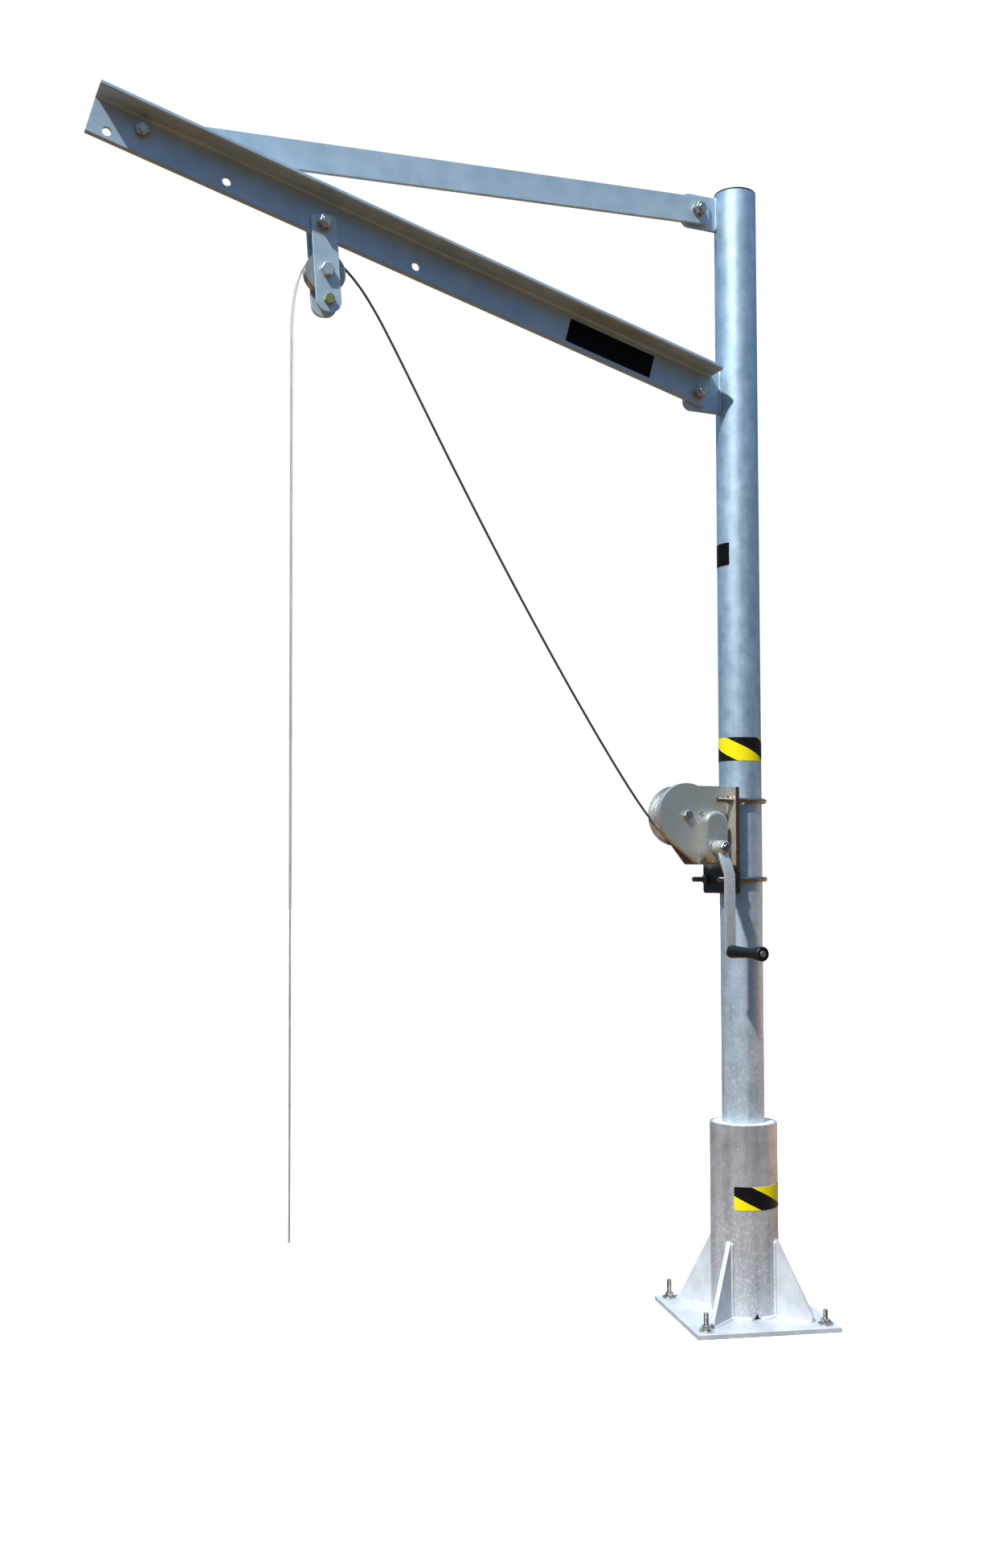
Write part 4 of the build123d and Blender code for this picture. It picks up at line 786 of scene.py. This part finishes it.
bolt_zinc = plated("bolt_zinc", (0.42, 0.43, 0.42), (0.74, 0.74, 0.70), (0.62, 0.60, 0.40), rough=0.20)
axle_zinc = plated("axle_zinc", (0.58, 0.60, 0.60), (0.82, 0.84, 0.84), (0.46, 0.44, 0.16), rough=0.20,
                   metallic=0.7, tint_levels=(2.025, 2.035))
arm_zinc = plated("arm_zinc", (0.60, 0.62, 0.61), (0.82, 0.84, 0.82), (0.70, 0.70, 0.62), rough=0.24,
                  metallic=0.62)
winch_zinc = plated("winch_zinc", (0.52, 0.55, 0.51), (0.66, 0.68, 0.62), (0.62, 0.62, 0.53), rough=0.28,
                    metallic=0.72)
drum_zinc = plated("drum_zinc", (0.72, 0.73, 0.70), (0.88, 0.88, 0.84), (0.74, 0.70, 0.58), rough=0.14,
                   metallic=0.75)
cover_zinc = plated("cover_zinc", (0.54, 0.56, 0.54), (0.70, 0.71, 0.69), (0.60, 0.60, 0.53), rough=0.12,
                    metallic=0.70)
mount_zinc = mount_steel("mount_zinc")
sheave_zinc = plated("sheave_zinc", (0.34, 0.36, 0.37), (0.58, 0.60, 0.60), (0.42, 0.42, 0.36), rough=0.28,
                     metallic=0.6)
worn_steel = plated("worn_steel", (0.12, 0.11, 0.10), (0.42, 0.40, 0.37), (0.30, 0.19, 0.11), rough=0.30)

gear_steel = plain("gear_steel", (0.16, 0.16, 0.17), (0.34, 0.34, 0.35), metallic=1.0, rough=0.36,
                   grains=300.0)
bronze = plain("bronze", (0.36, 0.24, 0.10), (0.58, 0.42, 0.20), metallic=1.0, rough=0.34, grains=280.0)
lining = plain("lining", (0.06, 0.05, 0.042), (0.14, 0.11, 0.09), metallic=0.0, rough=0.8, grains=500.0)
pale_nylon = plain("pale_nylon", (0.84, 0.86, 0.86), (0.94, 0.95, 0.95), metallic=0.0, rough=0.42,
                   grains=160.0)
dark_nylon = plain("dark_nylon", (0.010, 0.010, 0.011), (0.022, 0.022, 0.023), metallic=0.0, rough=0.55,
                   grains=160.0, shine=0.2)
black_plastic = plain("black_plastic", (0.004, 0.005, 0.006), (0.012, 0.013, 0.015), metallic=0.0,
                      rough=0.42, grains=700.0, shine=0.25)
label_black = plain("label_black", (0.002, 0.002, 0.003), (0.005, 0.005, 0.006), metallic=0.0, rough=0.5,
                    grains=180.0, shine=0.1)

rope_wire = wire("rope_wire")
socket_stripes = hazard_tape("socket_stripes", radius=0.0703, edge_bearing=-139.0, edge_height=0.2577)
mast_stripes = hazard_tape("mast_stripes", radius=0.0447, edge_bearing=-160.5, edge_height=1.2000)

finishes = {
    mast_zinc: ["mast_tube", "mast_foot"],
    jib_zinc: ["jib_beam", "lower_lug", "upper_lug"],
    tie_zinc: ["tie_bar", "strap_front", "strap_rear", "hanger_spacer", "lower_spacer"],
    socket_zinc: ["socket_tube"],
    plate_zinc: ["base_plate", "base_gussets"],
    bolt_zinc: ["anchor_studs", "anchor_washers", "anchor_nuts", "crane_bolts", "crane_nuts",
                "crane_washers", "side_washers", "frame_bolts", "cover_screws", "drum_axle",
                "drum_axle_nut", "crank_nut", "grip_spindle"],
    axle_zinc: ["block_bolts", "block_nuts"],
    worn_steel: ["u_bolts", "u_bolt_nuts"],
    arm_zinc: ["crank_arm"],
    winch_zinc: ["winch_frame"],
    drum_zinc: ["drum"],
    cover_zinc: ["brake_cover"],
    mount_zinc: ["winch_mount_plate"],
    gear_steel: ["drum_gear", "pinion_shaft", "ratchet_wheel", "pawl", "pawl_pin", "brake_plates"],
    sheave_zinc: ["sheave"],
    bronze: ["drum_bushes", "shaft_bushes", "sheave_bush"],
    lining: ["friction_discs"],
    pale_nylon: ["upper_guide_ring"],
    dark_nylon: ["thrust_disc", "lower_guide_ring"],
    black_plastic: ["grip", "mast_cap"],
    label_black: ["jib_label", "mast_label"],
    socket_stripes: ["socket_tape"],
    mast_stripes: ["mast_tape"],
}
for finish, names in finishes.items():
    for name in names:
        nodes[name].data.materials.clear()
        nodes[name].data.materials.append(finish)
piece_finishes = [
    (hoist_rope, rope_wire),
    (drum_rope, rope_wire),
    (base_welds, weld_zinc),
    (lug_welds, jib_zinc),
    (anchor_threads, bolt_zinc),
    (u_bolt_threads, worn_steel),
    (crane_threads, bolt_zinc),
    (socket_drops, weld_zinc),
]
for piece, finish in piece_finishes:
    piece.data.materials.append(finish)

# Floor and backdrop
floor_half = 40.0
backdrop_radius = 60.0
floor_signs = [(-1, -1), (1, -1), (1, 1), (-1, 1)]
floor_corners = [(floor_half * along, floor_half * across, 0.0) for along, across in floor_signs]
floor = add_piece("floor", floor_corners, [(0, 1, 2, 3)], smooth=False)
floor_paint = Surface("floor_paint", Base_Color=(0.85, 0.85, 0.85, 1.0), Roughness=0.9)
floor_paint.set(Emission_Color=(1.0, 1.0, 1.0, 1.0), Emission_Strength=0.72)
floor.data.materials.append(floor_paint.material)
floor.visible_diffuse = False
floor.visible_glossy = False

bpy.ops.mesh.primitive_uv_sphere_add(segments=48, ring_count=24, radius=backdrop_radius)
backdrop = bpy.context.object
backdrop.name = "backdrop"
backdrop_paint = Surface("backdrop_paint", Base_Color=(0.0, 0.0, 0.0, 1.0), Roughness=1.0)
backdrop_paint.set(Emission_Color=(1.0, 1.0, 1.0, 1.0), Emission_Strength=1.0, Specular_IOR_Level=0.0)
backdrop.data.materials.append(backdrop_paint.material)
backdrop.visible_diffuse = False
backdrop.visible_glossy = False
backdrop.visible_shadow = False

# Lights: a key from the upper left and a weak warm glow low on the right
key_direction = Vector((0.522, 0.339, -0.783))
key_data = bpy.data.lights.new("key_light", "SUN")
key_data.energy = 4.8
key_data.angle = math.radians(2.0)
key_data.color = (1.0, 0.985, 0.96)
key = bpy.data.objects.new("key_light", key_data)
key.rotation_euler = key_direction.to_track_quat("-Z", "Y").to_euler()
scene.collection.objects.link(key)

glow_data = bpy.data.lights.new("warm_glow", "AREA")
glow_data.shape = "RECTANGLE"
glow_data.size = 1.6
glow_data.size_y = 1.0
glow_data.energy = 6.5
glow_data.color = (1.0, 0.64, 0.38)
glow_place = Vector((1.5, 0.0, 0.45))
glow_target = Vector((0.0, 0.0, 0.55))
glow = bpy.data.objects.new("warm_glow", glow_data)
glow.location = glow_place
glow.rotation_euler = (glow_target - glow_place).to_track_quat("-Z", "Y").to_euler()
scene.collection.objects.link(glow)

# Sky: warm ground below, blue above, and stronger behind the crane than in front of it
sky_stops = [
    (0.00, (0.31, 0.160, 0.058)),
    (0.28, (0.22, 0.120, 0.050)),
    (0.44, (0.10, 0.078, 0.062)),
    (0.51, (0.07, 0.11, 0.16)),
    (0.60, (0.11, 0.20, 0.33)),
    (0.75, (0.20, 0.35, 0.58)),
    (1.00, (0.32, 0.52, 0.86)),
]
sky_in_front = 0.8
sky_behind = 1.5
world = bpy.data.worlds.new("studio_sky")
world.use_nodes = True
scene.world = world
sky = world.node_tree
background = sky.nodes["Background"]
direction = sky.nodes.new("ShaderNodeSeparateXYZ")
sky.links.new(sky.nodes.new("ShaderNodeTexCoord").outputs["Generated"], direction.inputs["Vector"])
rise = sky.nodes.new("ShaderNodeMapRange")
rise.inputs["From Min"].default_value = -1.0
sky.links.new(direction.outputs["Z"], rise.inputs["Value"])
sky_ramp = sky.nodes.new("ShaderNodeValToRGB")
set_stops(sky_ramp, sky_stops)
sky.links.new(rise.outputs["Result"], sky_ramp.inputs["Fac"])
sky.links.new(sky_ramp.outputs["Color"], background.inputs["Color"])
strength = sky.nodes.new("ShaderNodeMapRange")
strength.inputs["From Min"].default_value = -1.0
strength.inputs["To Min"].default_value = sky_in_front
strength.inputs["To Max"].default_value = sky_behind
sky.links.new(direction.outputs["Y"], strength.inputs["Value"])
sky.links.new(strength.outputs["Result"], background.inputs["Strength"])
